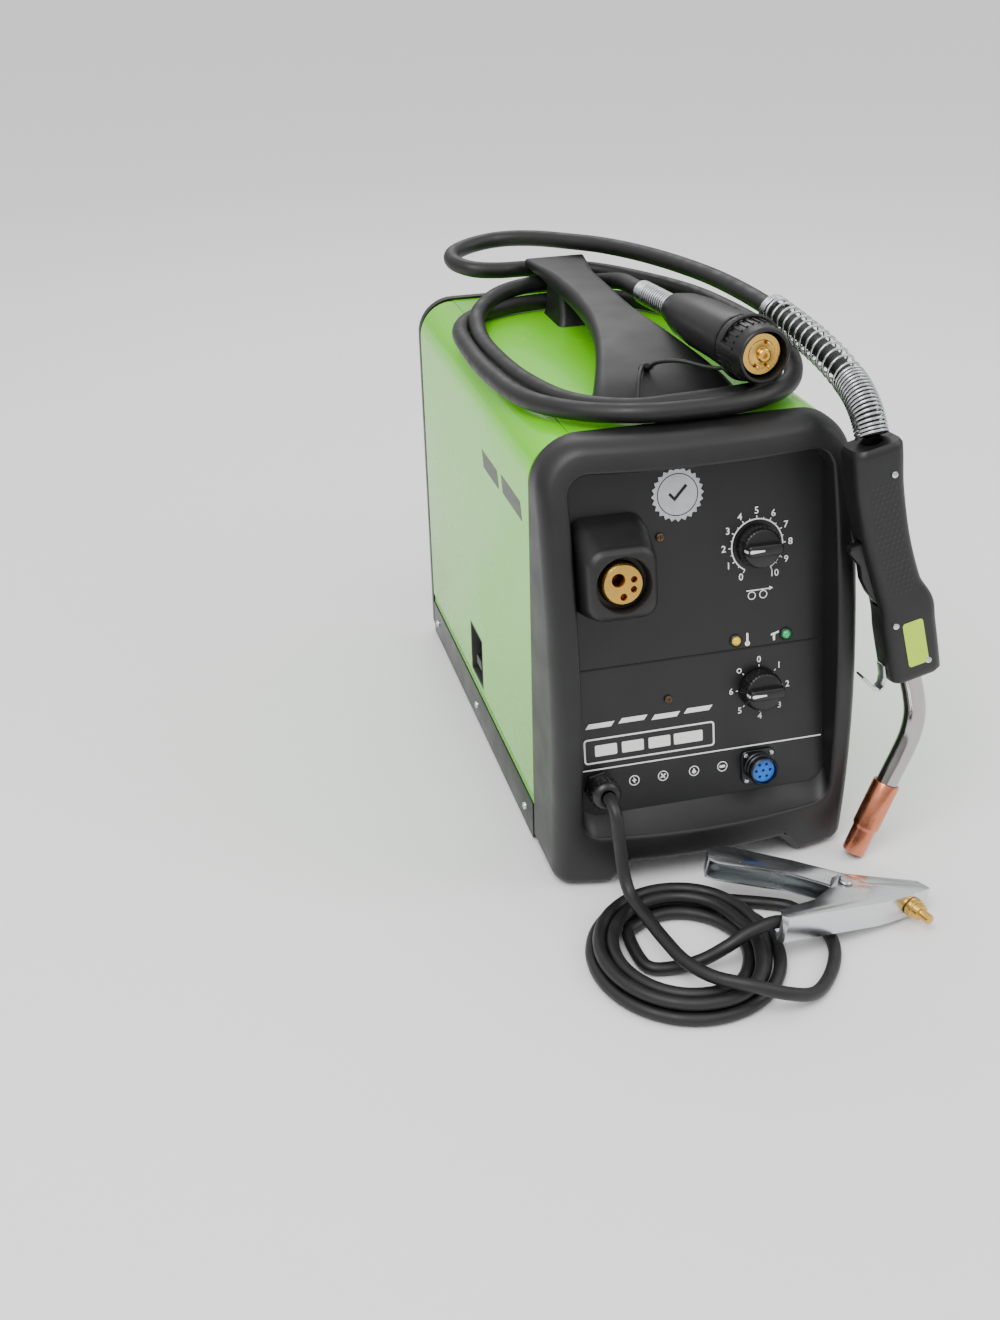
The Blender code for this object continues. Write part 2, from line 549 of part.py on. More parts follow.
def spool_parts():
    y, z = SPOOL_CENTRE
    frame = frame_from((0, y, z), (1, 0, 0), (0, 1, 0))
    axle = make("spool_axle", solid_turn([(22, -13.3), (22, -15), (8, -17), (8, -117)], 20), GREY_STEEL, frame)
    hub = make("spool_hub", tube_turn([(8.5, -47), (30, -47), (30, -50), (24.5, -50.2), (24.5, -108), (30, -108.5),
                                       (30, -113), (20, -115), (8.5, -115)], 18), BLACK_ABS, frame)
    x0, x1 = -106.0, -106.0 + SPOOL_WIDTH
    outer = SPOOL_RADIUS
    spool = make("wire_spool", tube_turn([(25, x0), (outer, x0), (outer, x0 + 4), (60, x0 + 4), (60, x1 - 4),
                                          (outer, x1 - 4), (outer, x1), (25, x1)], 28), BLACK_ABS, frame)
    winding = make("wire_winding", tube_turn([(60.3, x0 + 4.3), (86, x0 + 4.3), (86, x1 - 4.3), (60.3, x1 - 4.3)],
                                             28), COPPER, frame)
    return axle, hub, spool, winding


# ---------------------------------------------------------------- power compartment
def transformer():
    core = make("transformer_core", block((8, -75, 12), (112, 15, 112)), IRON)
    windows = [make("window", block((x, -80, 30), (x + 26, 20, 94)), IRON) for x in (26, 68)]
    cut(core, *windows)
    coil = make("transformer_windings", prism(rounded_rect(27.7, 56, 10, 3, centre=(60, -30)), 31, 93), COPPER)
    cut(coil, make("bore", block((51.7, -75.3, 20), (68.3, 15.3, 100)), COPPER))
    feet = make("feet", block((4, -60, 5.3), (116, 0, 12.1)), IRON)
    add(core, feet)
    return core, coil


def rectifier_heatsink():
    base = make("rectifier_heatsink", block((12, 60, 40), (18, 180, 130)), ALUMINIUM)
    fins = [make("fin", block((17.9, 60.1 + 13.2 * i, 40.1), (62, 61.7 + 13.2 * i, 129.9)), ALUMINIUM)
            for i in range(9)]
    legs = [make("leg", block((12.5, y, 5.3), (17.5, y + 8, 41)), ALUMINIUM) for y in (64, 168)]
    return add(base, *fins, *legs)


def control_board():
    board = make("control_board", block((8, -140, 262), (9.8, -40, 342)), BOARD_GREEN)
    parts = [make("component", block((9.7, -130 + 30 * i, 270 + 16 * i), (24, -112 + 30 * i, 292 + 16 * i)), BOARD_GREEN)
             for i in range(3)]
    posts = [make("post", block((-9.2, y, z), (8.1, y + 5, z + 5)), BOARD_GREEN)
             for y, z in ((-136, 266), (-48, 266), (-136, 333), (-48, 333))]
    return add(board, *parts, *posts)


def fan():
    frame = frame_from((FAN_X, 0, FAN_Z), (0, 1, 0), (1, 0, 0))
    motor = make("fan_motor", solid_turn([(18, 190), (19, 192), (19, 217), (6, 217.5), (2, 218), (2, 236)], 14),
                 IRON, frame)
    stays = [make("stay", block((FAN_X - 52, 200, FAN_Z - 4 + 0), (FAN_X + 52, 203, FAN_Z + 4)), IRON),
             make("stay", block((FAN_X - 4, 200, FAN_Z - 52), (FAN_X + 4, 203, FAN_Z + 52)), IRON)]
    legs = [make("leg", block((FAN_X + x - 4, 200, FAN_Z + z - 4), (FAN_X + x + 4, 246.5, FAN_Z + z + 4)), IRON)
            for x, z in ((-52, 0), (52, 0), (0, -52), (0, 52))]
    add(motor, *stays, *legs)
    blade = make("fan_blade", tube_turn([(2.3, 219), (12, 219), (13, 220), (13, 238), (2.3, 238)], 14), BLACK_ABS,
                 frame)
    vanes = []
    for i in range(5):
        a = math.tau * i / 5
        corners = [(10, -9, 221), (41, -13, 221), (41, -9, 221), (10, -5, 221)]
        top = [(10, 5, 236), (41, 9, 236), (41, 13, 236), (10, 9, 236)]
        vanes.append(make("vane", loft([corners, top]), BLACK_ABS, frame @ Matrix.Rotation(a, 4, "Z")))
    return motor, add(blade, *vanes)


def rear_fittings():
    gas_frame = frame_from((GAS_X, 0, GAS_Z), (0, 1, 0), (1, 0, 0))
    gas = make("gas_inlet", tube_turn([(2.5, 225), (8, 225), (8, 246.6), (8, 250.2), (11, 250.4), (11, 254), (2.5, 254)],
                                      6, 0.0), BRASS, gas_frame)
    mains_frame = frame_from((MAINS_X, 0, MAINS_Z), (0, 1, 0), (1, 0, 0))
    mains = make("mains_gland", tube_turn([(5.5, 236), (10, 236), (10, 250.3), (13.5, 250.5), (13.5, 253), (11, 254.8),
                                           (5.5, 254.8)], 16), BLACK_ABS, mains_frame)
    return gas, mains


# ---------------------------------------------------------------- cables
def smooth_route(points, spacing):
    """Reads evenly spaced points from a smooth curve through the route's own points."""
    knots = [Vector(p) for p in points]
    ends = [knots[0] * 2 - knots[1]] + knots + [knots[-1] * 2 - knots[-2]]
    fine = []
    for p0, p1, p2, p3 in zip(ends, ends[1:], ends[2:], ends[3:]):
        for i in range(16):
            t = i / 16
            fine.append(0.5 * (2 * p1 + (p2 - p0) * t + (2 * p0 - 5 * p1 + 4 * p2 - p3) * t * t
                               + (3 * p1 - p0 - 3 * p2 + p3) * t * t * t))
    fine.append(knots[-1])
    length = sum((b - a).length for a, b in zip(fine, fine[1:]))
    count = max(2, round(length / spacing))
    step, walked, wanted, result = length / count, 0.0, length / count, [fine[0]]
    for a, b in zip(fine, fine[1:]):
        reach = (b - a).length
        while walked + reach >= wanted - 1e-6 and len(result) < count:
            result.append(a.lerp(b, (wanted - walked) / reach))
            wanted += step
        walked += reach
    result.append(fine[-1])
    return result


def cable(name, route, diameter, spacing, resolution=2):
    curve = bpy.data.curves.new(name, "CURVE")
    curve.dimensions = "3D"
    curve.bevel_depth = diameter / 2 * MM
    curve.bevel_resolution = resolution
    curve.use_fill_caps = True
    spline = curve.splines.new("POLY")
    points = smooth_route(route, spacing)
    spline.points.add(len(points) - 1)
    for point, place in zip(spline.points, points):
        point.co = (*(place * MM), 1.0)
    obj = bpy.data.objects.new(name, curve)
    bpy.context.scene.collection.objects.link(obj)
    curve.materials.append(material(*BLACK_RUBBER))
    return obj


# The work lead leaves its gland along the panel's normal, drops to the floor, crosses the coil
# and bends back under it on the right.
WORK_ROUTE = [(-87, -252.7, 92.8), (-87, -259, 93), (-86.5, -268, 88), (-86, -273, 74), (-85, -277, 58),
              (-84, -284, 40), (-82, -296, 29), (-78, -322, 27), (-74, -350, 27), (-68, -376, 27),
              (-55, -398, 27.5), (-34, -413, 27.5), (-8, -420, 19.5), (18, -413, 8), (39, -394, 5.6), (54, -369, 5.4),
              (57, -344, 5.4), (48, -322, 5.4), (32, -311, 5.4)]
COIL_CENTRE, COIL_HALF_X, COIL_HALF_Y, COIL_BAND = (-55.0, -343.0), 76.0, 79.0, 27.0
COIL_LOW, COIL_HIGH = 0.4, 21.0
TAIL_ROUTE = [(-100, -336, 5.6), (-88, -349, 5.6), (-68, -357, 6), (-48, -361, 12), (-30, -363, 22),
              (-12, -361, 30), (8, -359.5, 33.6), (24, -361, 31.5), (38.5, -357, 29), (58, -351.5, 25.8),
              (78, -348, 22.5), (98, -344.5, 19.2), (106, -342.5, 17.9)]


def work_lead():
    free = cable("work_cable", WORK_ROUTE, WORK_CABLE_D, 24.0)
    cx, cy = COIL_CENTRE
    rings = []
    for i in range(24):
        a = math.tau * i / 24
        section = []
        for inward, z in ((0, COIL_LOW + 5), (0, COIL_HIGH - 5), (6, COIL_HIGH), (COIL_BAND - 6, COIL_HIGH),
                          (COIL_BAND, COIL_HIGH - 5), (COIL_BAND, COIL_LOW + 5), (COIL_BAND - 5, COIL_LOW),
                          (5, COIL_LOW)):
            section.append((cx + (COIL_HALF_X - inward) * math.cos(a), cy + (COIL_HALF_Y - inward) * math.sin(a), z))
        rings.append(section)
    coil = make("work_cable_coil", loft(rings, closed=True), BLACK_RUBBER)
    tail = cable("work_cable_tail", TAIL_ROUTE, WORK_CABLE_D, 24.0)
    return free, coil, tail


CLAMP_PIVOT = (78.0, -328.0, 22.5)
CLAMP_TILT = math.radians(9.5)
CLAMP_FRAME = at(*CLAMP_PIVOT) @ Matrix.Rotation(CLAMP_TILT, 4, "Y")
STUD_FRAME = CLAMP_FRAME @ frame_from((48.2, -12.8, 0), (0.3, -0.954, 0), (0, 0, 1))


def channel(name, outline, web, low, high, finish, frame):
    """A folded arm: two flanges with one outline, joined along the web outline."""
    top = make(name, prism(outline, high - 1.8, high), finish, frame)
    bottom = make("flange", prism(outline, low, low + 1.8), finish, frame)
    back = make("web", prism(web, low + 0.1, high - 0.1), finish, frame)
    return add(top, bottom, back)


def work_clamp():
    """A spring clamp lying on its side: two folded arms on a pin, with the cable stud on the near arm."""
    frame = CLAMP_FRAME
    near = [(-71, -40), (-69, -33), (-58, -28), (-36, -21), (-18, -8), (-9, 6), (0, 10), (9, 6), (16, -2), (64, -6),
            (67, -12), (58, -16), (20, -28), (-66, -43)]
    near_web = [(-71, -40), (-66, -43), (20, -28), (58, -16), (67, -12), (66.6, -10.2), (57.6, -14.2), (19.4, -26.2),
                (-66.0, -41.1), (-69.8, -38.4)]
    lower = channel("clamp_lower", near, near_web, -11.0, 11.0, GREY_STEEL, frame)
    far = [(-98, 40), (-95, 50), (-86, 56), (-74, 54), (-30, 34), (6, 14), (64, 1), (66, -3.5), (64, -5.4), (20, -1.5),
           (8, -8), (0, -10), (-8, -7), (-16, 2), (-40, 17), (-92, 35)]
    far_web = [(-98, 40), (-95, 50), (-86, 56), (-74, 54), (-30, 34), (6, 14), (64, 1), (63.5, -0.8), (5.4, 12.2),
               (-30.9, 32.4), (-74.6, 52.2), (-85.4, 54), (-93.6, 48.6), (-96.2, 39.8)]
    upper = channel("clamp_upper", far, far_web, -8.8, 8.8, GREY_STEEL, frame)
    hole = [make("hole", solid_turn([(3.4, -30), (3.4, 30)], 14), GREY_STEEL, frame) for _ in range(2)]
    stud_hole = make("stud_hole", solid_turn([(4.6, 0), (4.6, 14)], 14), GREY_STEEL, STUD_FRAME)
    cut(lower, hole[0], stud_hole)
    cut(upper, hole[1])
    pin = make("clamp_pin", solid_turn([(5.5, -12.7), (5.5, -11.3), (3.0, -11.3), (3.0, 11.3), (5.5, 11.3),
                                        (5.5, 12.7), (4.5, 13.4)], 16), GREY_STEEL, frame)
    return lower, upper, pin


def clamp_stud():
    """The stud, nuts and lug that hold the cable to the near jaw."""
    return make("clamp_stud", solid_turn([(4, -2), (4, 6.5), (8, 6.6), (8, 12), (6.5, 12.2), (6.5, 17), (4, 17.2),
                                          (4, 26), (3.4, 26.6)], 12), BRASS, STUD_FRAME)


# ---------------------------------------------------------------- torch
PLUG_FACE = Vector((60.0, -164.0, 402.0))
PLUG_AXIS = Vector((-0.085, 0.996, -0.02)).normalized()
TORCH_TOP = Vector((120.0, -227.0, 350.0))
TORCH_BOTTOM = Vector((163.0, -243.0, 160.0))


def along_plug(distance):
    return PLUG_FACE + PLUG_AXIS * distance


# From the plug the cable passes behind the handle's post, goes twice round the handle, loops
# back behind it and crosses over the end of the grip to the torch.
PLUG_END = along_plug(230.5)
TORCH_ROUTE = [
    tuple(PLUG_END), tuple(along_plug(250)), (40, 112, 394), (40, 140, 388.5), (31, 168, 382), (8, 186, 379.5),
    (-25, 188, 379.5), (-62, 172, 377), (-90, 136, 371), (-101, 86, 366), (-103, 28, 365), (-96, -50, 365),
    (-77, -113, 365.5), (-41, -149.5, 368), (0, -154, 369.5), (42, -150, 369.5), (78, -130, 366), (99, -92, 365),
    (106, -40, 365), (104, 30, 365), (94, 96, 365), (68, 150, 365), (32, 176, 365), (-8, 180, 365),
    (-52, 172, 365), (-92, 146, 365), (-114, 104, 365.3), (-120, 40, 366), (-119, -30, 366), (-108, -98, 366),
    (-80, -147, 369), (-38, -169.5, 370), (6, -173, 370), (52, -168, 370.5), (90, -144, 373), (110, -100, 379),
    (117, -40, 381), (114, 34, 381), (101, 104, 381.5), (74, 160, 382.5), (40, 198, 385), (4, 212, 387),
    (-28, 211, 389), (-54, 201, 392), (-78, 203, 394.5), (-92, 222, 397.5), (-88, 246, 400.5), (-64, 262, 404),
    (-36, 262, 407), (-8, 243, 409.5), (18, 218, 410), (44, 190, 410), (68, 146, 410), (85, 88, 411),
    (96, 24, 412), (104, -46, 410), (110, -104, 404), (115, -156, 395), (118.5, -198, 381), (119.5, -219, 366),
    tuple(TORCH_TOP + Vector((0, 0, 4.5)))]


def torch_cable():
    return cable("torch_cable", TORCH_ROUTE, TORCH_CABLE_D, 41.0)


def torch_plug():
    """The plug that fits the machine's torch socket: body, coupling nut, contact face and spring."""
    frame = frame_from(PLUG_FACE, PLUG_AXIS, (0, 0, 1))
    contact = make("torch_plug_contact", solid_turn([(16, 6), (16, 44)], 24), BRASS, frame)
    nose = make("nose", solid_turn([(5, 0.5), (5, 8)], 16), BRASS, frame)
    probes = [make("probe", solid_turn([(1.4, 1.5), (1.4, 8)], 8), BRASS, frame @ at(x, y, 0))
              for x, y in ((-9, 4.5), (-9, -4.5), (8.5, 4.0))]
    add(contact, nose, *probes)
    nut = make("torch_plug_nut", tube_turn([(18.3, 0), (20.5, 0), (21.5, 2), (21.5, 8), (23.5, 12), (23.5, 34),
                                            (22, 40), (18.3, 40)], 16), BLACK_ABS, frame)
    body = make("torch_plug_body", tube_turn([(16.3, 41), (22, 41), (22.5, 44), (21.5, 62), (21, 100), (18, 136),
                                              (13, 159), (8.5, 160), (8.5, 60), (16.3, 46)], 16), BLACK_ABS, frame)
    spring = make("plug_spring", tube_turn([(8.4, 160.5), (10.2, 160.5), (10.2, 225), (8.4, 225)], 16), GREY_STEEL,
                  frame)
    core = make("core", solid_turn([(7.5, 43.5), (7.5, 228.6)], 16), BLACK_RUBBER, frame)
    add(contact, core)
    return contact, nut, body, spring


def torch_axis_frame():
    """Z runs up the grip from its lower end, X points to the trigger side."""
    up = (TORCH_TOP - TORCH_BOTTOM).normalized()
    return frame_from(TORCH_BOTTOM, up, (-1, 0, 0))


GRIP_LENGTH = (TORCH_TOP - TORCH_BOTTOM).length
GRIP_SECTIONS = (  # height, centre offset to the trigger side, half depth, half thickness
    (0.0, -1.0, 19.0, 13.0), (3.0, -1.0, 21.5, 15.5), (45.0, -2.0, 22.0, 16.5), (62.0, -3.0, 21.5, 16.5),
    (82.0, 1.5, 18.5, 16.0), (120.0, 4.5, 18.5, 16.0), (160.0, 4.0, 19.5, 16.5))


def torch_grip():
    frame = torch_axis_frame()
    rings = []
    for height, offset, half, thick in GRIP_SECTIONS + ((GRIP_LENGTH - 3.0, 0.5, 20.0, 17.0), (GRIP_LENGTH, 0.0, 18.0, 15.0)):
        rings.append([(offset + x, y, height) for x, y in rounded_rect(half, thick, thick * 0.55, 4)])
    grip = make("torch_grip", loft(rings), BLACK_ABS, frame)
    slot = make("slot", block((7.5, -5, 66), (40, 5, 124)), BLACK_ABS, frame)
    neck_bore = make("neck_bore", solid_turn([(9.4, -5), (9.4, 30)], 18), BLACK_ABS, frame)
    cable_bore = make("cable_bore", solid_turn([(8.0, GRIP_LENGTH - 20), (8.0, GRIP_LENGTH + 5)], 18), BLACK_ABS, frame)
    return cut(grip, slot, neck_bore, cable_bore)


TRIGGER_PIVOT = (16.5, 72.0)


def torch_trigger():
    """The trigger lever, hinged at its lower end in the grip's slot."""
    x, z = TRIGGER_PIVOT
    outline = [(12.5, 70), (19, 69), (24, 80), (27, 92), (26.5, 104), (33, 117), (31, 121), (20, 121.5), (12.5, 120)]
    local = [(a - x, b - z) for a, b in outline]
    return make("torch_trigger", prism(local, -4.4, 4.4, "y"), BLACK_ABS, torch_axis_frame() @ at(x, 0, z))


def torch_hook():
    """A bent steel strip on the grip's front corner, to hang the torch by."""
    frame = torch_axis_frame()
    strip = [(21.0, 16), (21.5, 4), (24, -3), (29, -6), (33, -3), (41, 12), (39.4, 13), (31.6, -1.6), (28.8, -3.8),
             (25.4, -1.4), (23.1, 5), (22.6, 16)]
    return make("torch_hook", prism(strip, -6, 6, "y"), GREY_STEEL, frame)


def swept(path, radius, steps=16):
    """A round bar along a path of vectors in one plane."""
    rings = []
    count = len(path)
    normal = Vector((0, 1, 0))
    for i, p in enumerate(path):
        before, after = path[max(i - 1, 0)], path[min(i + 1, count - 1)]
        tangent = (after - before).normalized()
        side = (normal - tangent * normal.dot(tangent)).normalized()
        other = tangent.cross(side)
        rings.append([p + (side * math.cos(math.tau * k / steps) + other * math.sin(math.tau * k / steps)) * radius
                      for k in range(steps)])
    return loft(rings)


NECK_PATH = [Vector(p) for p in ((0, 0, 28), (0, 0, 0), (-0.5, 0, -22), (1, 0, -38), (7, 0, -54), (17, 0, -69),
                                 (27, 0, -82), (39, 0, -98))]


def swan_neck_and_nozzle():
    frame = torch_axis_frame()
    route = smooth_route(NECK_PATH, 11.0)
    neck = make("swan_neck", swept(route, 8.8, 14), CHROME, frame)
    end, before = NECK_PATH[-1], NECK_PATH[-2]
    direction = (end - before).normalized()
    tip_frame = frame @ frame_from(end - direction * 6, direction, (0, 1, 0))
    nozzle = make("gas_nozzle", tube_turn([(9.2, 0), (10.8, 0), (11, 1), (11, 40), (9.6, 44), (9.4, 66), (8.8, 67),
                                           (7.6, 66), (7.6, 42), (9.2, 8)], 18), COPPER, tip_frame)
    return neck, nozzle


def torch_spring():
    """The bend-relief spring over the cable above the grip, as a plain sleeve."""
    points = smooth_route(TORCH_ROUTE, 13.5)[-14:-2]
    rings = []
    steps = 12
    for inner in (False, True):
        rows = []
        for i, p in enumerate(points):
            before, after = points[max(i - 1, 0)], points[min(i + 1, len(points) - 1)]
            tangent = (after - before).normalized()
            side = (Vector((1, 0, 0)) - tangent * tangent.x).normalized()
            other = tangent.cross(side)
            r = 10.8 if inner else 13.0
            rows.append([p + (side * math.cos(math.tau * k / steps) + other * math.sin(math.tau * k / steps)) * r
                         for k in range(steps)])
        rings += rows[::-1] if inner else rows
    return make("torch_spring", loft(rings, closed=True), GREY_STEEL)


def build():
    clear_scene()
    front_bezel()
    control_plate()
    top_cover()
    side_door()
    door_hinge_pin()
    door_latch()
    base_pan()
    rear_panel()
    carry_handle()
    torch_socket_housing()
    torch_socket()
    work_lead_gland()
    remote_socket()
    knob("wire_feed_knob", 166, 0, 9)
    knob("selector_knob", 49.8, 0, 18)
    lamp("thermal_lamp", 29.8, AMBER)
    lamp("power_lamp", 71.7, GREEN_LENS)
    switch_bodies()
    centre_partition()
    drive_body()
    drive_motor()
    drive_roll()
    pressure_arm()
    pressure_roll()
    tension_knob()
    spool_parts()
    transformer()
    rectifier_heatsink()
    control_board()
    fan()
    rear_fittings()
    work_lead()
    work_clamp()
    clamp_stud()
    torch_cable()
    torch_plug()
    torch_grip()
    torch_trigger()
    torch_hook()
    swan_neck_and_nozzle()
    torch_spring()


build()
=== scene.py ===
"""A wire-feed welder: the finished surfaces that go over the machine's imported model.

Shapes are made in millimetres in the machine's own frame: +X its right side, -Y its front,
+Z up, with the origin on the floor under the middle of the case.
"""
import json
import math

import bmesh
import bpy
from mathutils import Matrix, Vector

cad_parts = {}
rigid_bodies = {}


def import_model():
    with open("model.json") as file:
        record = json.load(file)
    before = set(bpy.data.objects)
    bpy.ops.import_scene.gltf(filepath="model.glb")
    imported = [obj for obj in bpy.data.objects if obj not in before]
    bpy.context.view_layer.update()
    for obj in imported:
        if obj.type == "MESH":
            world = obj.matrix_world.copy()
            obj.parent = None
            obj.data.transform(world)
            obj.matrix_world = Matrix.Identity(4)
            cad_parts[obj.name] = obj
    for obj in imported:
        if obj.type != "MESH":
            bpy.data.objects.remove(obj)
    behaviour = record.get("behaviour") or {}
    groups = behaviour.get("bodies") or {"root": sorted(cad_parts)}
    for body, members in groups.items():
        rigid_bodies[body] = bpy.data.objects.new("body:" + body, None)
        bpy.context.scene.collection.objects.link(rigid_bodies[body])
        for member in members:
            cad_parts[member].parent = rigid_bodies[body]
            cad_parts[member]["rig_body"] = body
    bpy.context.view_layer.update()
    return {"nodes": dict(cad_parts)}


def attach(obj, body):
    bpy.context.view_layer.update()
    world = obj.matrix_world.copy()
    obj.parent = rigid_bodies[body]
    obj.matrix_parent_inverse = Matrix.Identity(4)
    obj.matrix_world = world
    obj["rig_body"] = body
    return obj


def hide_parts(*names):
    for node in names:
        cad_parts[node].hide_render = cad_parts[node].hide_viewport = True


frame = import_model()

MM = 0.001
PANEL_TILT = math.radians(10.25)
PANEL_Y, PANEL_Z = -225.0, 100.0
HALF_WIDTH, COVER_TOP, CORNER_RADIUS = 125.0, 357.0, 32.0
COVER_FRONT_Y, COVER_REAR_Y, SEAM_X = -167.5, 241.5, -91.0
DOOR_HINGE = (-121.0, 236.0)
SOCKET_X, SOCKET_UP = -72.0, 160.0
DIAL_X, FEED_UP, SELECTOR_UP = 48.6, 166.0, 49.8  # the two knobs, up the panel
REMOTE_X, REMOTE_UP = 46.0, -16.0
LAMP_UP, SYMBOL_UP, SEAM_UP = 91.5, -12.0, 84.0


# ---------------------------------------------------------------- materials
def linear(code):
    """Turns an sRGB hex colour into linear RGBA."""
    parts = [int(code[i:i + 2], 16) / 255 for i in (1, 3, 5)]
    return (*[c / 12.92 if c <= 0.04045 else ((c + 0.055) / 1.055) ** 2.4 for c in parts], 1.0)


def node(tree, kind, inputs=None, **settings):
    """Adds a node with its settings; an input is a value, or a (node, output) pair to link."""
    made = tree.nodes.new(kind)
    for key, value in settings.items():
        setattr(made, key, value)
    for key, value in (inputs or {}).items():
        if isinstance(value, tuple) and isinstance(value[0], bpy.types.Node):
            tree.links.new(value[0].outputs[value[1]], made.inputs[key])
        else:
            made.inputs[key].default_value = value
    return made


def finish(name, base, patch=None, patch_mm=30, rough=(0.4, 0.5), grain_mm=None, depth_mm=0.03, stretch=(1, 1, 1),
           **sockets):
    """A material whose colour and roughness drift over patches, with a fine grain pressed into it."""
    made = bpy.data.materials.new(name)
    made.use_nodes = True
    tree = made.node_tree
    shader = tree.nodes["Principled BSDF"]
    for key, value in sockets.items():
        shader.inputs[key.replace("_", " ")].default_value = value
    place = node(tree, "ShaderNodeTexCoord")
    mapped = node(tree, "ShaderNodeMapping", {"Vector": (place, "Object"), "Scale": stretch})
    cloud = node(tree, "ShaderNodeTexNoise", {"Vector": (mapped, "Vector"), "Scale": 1000 / patch_mm, "Detail": 4.0})
    mix = tree.nodes.new("ShaderNodeMix")
    mix.data_type = "RGBA"
    tree.links.new(cloud.outputs["Fac"], mix.inputs[0])
    mix.inputs[6].default_value = linear(base)
    mix.inputs[7].default_value = linear(patch or base)
    tree.links.new(mix.outputs[2], shader.inputs["Base Color"])
    span = node(tree, "ShaderNodeMapRange", {"Value": (cloud, "Fac"), "From Min": 0.3, "From Max": 0.7,
                                             "To Min": rough[0], "To Max": rough[1]})
    tree.links.new(span.outputs["Result"], shader.inputs["Roughness"])
    if grain_mm:
        fine = node(tree, "ShaderNodeTexNoise", {"Vector": (mapped, "Vector"), "Scale": 1000 / grain_mm,
                                                 "Detail": 2.0})
        bump = node(tree, "ShaderNodeBump", {"Height": (fine, "Fac"), "Distance": depth_mm * MM, "Strength": 1.0})
        tree.links.new(bump.outputs["Normal"], shader.inputs["Normal"])
    return made


# Spark-eroded ABS: the mould's fine pebble breaks the shine into a soft sheen.
ABS = finish("moulded_black_abs", "#101011", "#141415", rough=(0.42, 0.52), grain_mm=1.1, depth_mm=0.10,
             Specular_IOR_Level=0.5)
# Smooth glass-filled nylon of the knobs, the plug and the gland: tighter highlights.
NYLON = finish("black_nylon", "#0f0f10", "#151516", rough=(0.32, 0.42), grain_mm=0.7, depth_mm=0.03)
# Satin powder coat on the flat control plate.
PANEL_COAT = finish("satin_black_powder_coat", "#0f0f10", "#131314", rough=(0.34, 0.44), grain_mm=0.8, depth_mm=0.02)
# Gloss powder coat: a clear skin over lime, with a slight orange peel about 3 mm across.
LIME = finish("lime_powder_coat", "#6cd400", "#73da02", patch_mm=120, rough=(0.24, 0.3), grain_mm=3.0,
              depth_mm=0.006, Specular_IOR_Level=0.35, Coat_Weight=0.25, Coat_Roughness=0.06)
# Extruded rubber sheath: matt, with scuffs and a dusty bloom.
RUBBER = finish("rubber_sheath", "#101010", "#191918", patch_mm=14, rough=(0.42, 0.6), grain_mm=1.6, depth_mm=0.03)
# Bright zinc on pressed steel: bluish, slightly cloudy.
ZINC = finish("zinc_plate", "#ced2d5", "#dcdfdf", patch_mm=22, rough=(0.2, 0.28), grain_mm=2.2, depth_mm=0.02,
              Metallic=1.0)
# Drawn spring wire, brighter and more even than the zinc.
SPRING = finish("spring_steel", "#b4b7ba", "#cfd1d2", patch_mm=5, rough=(0.2, 0.32), Metallic=1.0)
# Turned brass and copper keep a fine lathe grain.
BRASS = finish("turned_brass", "#c99a45", "#dcb563", patch_mm=8, rough=(0.18, 0.3), grain_mm=1.2, depth_mm=0.01,
               Metallic=1.0)
COPPER = finish("drawn_copper", "#c7714f", "#dd9474", patch_mm=10, rough=(0.2, 0.34), grain_mm=1.0, depth_mm=0.01,
                Metallic=1.0)
# Chrome on the swan neck: nearly a mirror, a little dulled by handling.
CHROME = finish("chrome_plate", "#a3a19d", "#b0aeaa", patch_mm=20, rough=(0.1, 0.16), Metallic=1.0)
# Metals inside the case.
ALLOY = finish("cast_aluminium", "#a7a9ab", "#bcbec0", patch_mm=6, rough=(0.35, 0.5), grain_mm=1.0, depth_mm=0.05,
               Metallic=1.0)
GALVANISED = finish("galvanised_sheet", "#9ea2a5", "#b6babd", patch_mm=12, rough=(0.3, 0.45), Metallic=1.0)
LAMINATION = finish("varnished_laminations", "#4a4744", "#5c5854", patch_mm=4, rough=(0.35, 0.55),
                    stretch=(0.1, 1.0, 0.1), grain_mm=1.0, depth_mm=0.08, Metallic=0.6)
ENAMEL_WIRE = finish("enamelled_copper_wire", "#8d4a25", "#a65c2f", patch_mm=5, rough=(0.25, 0.4),
                     stretch=(0.15, 0.15, 1.0), grain_mm=1.4, depth_mm=0.2, Metallic=0.7)
ZINC_DARK = finish("dark_anodised_shell", "#3a3b3d", "#4a4b4d", patch_mm=5, rough=(0.3, 0.42), Metallic=1.0)
SCREW_BRONZE = finish("blackened_screw", "#5a4a38", "#6b5a46", patch_mm=3, rough=(0.3, 0.45), Metallic=1.0)
# Small plastics, prints and labels.
BOARD = finish("circuit_board", "#14512b", "#1b6235", patch_mm=6, rough=(0.3, 0.4))
BLUE = finish("blue_nylon", "#1764c4", "#1e70d4", patch_mm=6, rough=(0.3, 0.4))
INK = finish("white_screen_print", "#e6e6e4", "#f0f0ee", patch_mm=6, rough=(0.45, 0.55))
GREY_INK = finish("dark_grey_print", "#3c443a", "#454d42", patch_mm=6, rough=(0.4, 0.5))
FOIL = finish("silver_foil", "#b9bcc0", "#d6d8da", patch_mm=7, rough=(0.28, 0.4), Metallic=0.85)
LABEL = finish("lime_label", "#b4d82c", "#bfe034", patch_mm=10, rough=(0.3, 0.4))
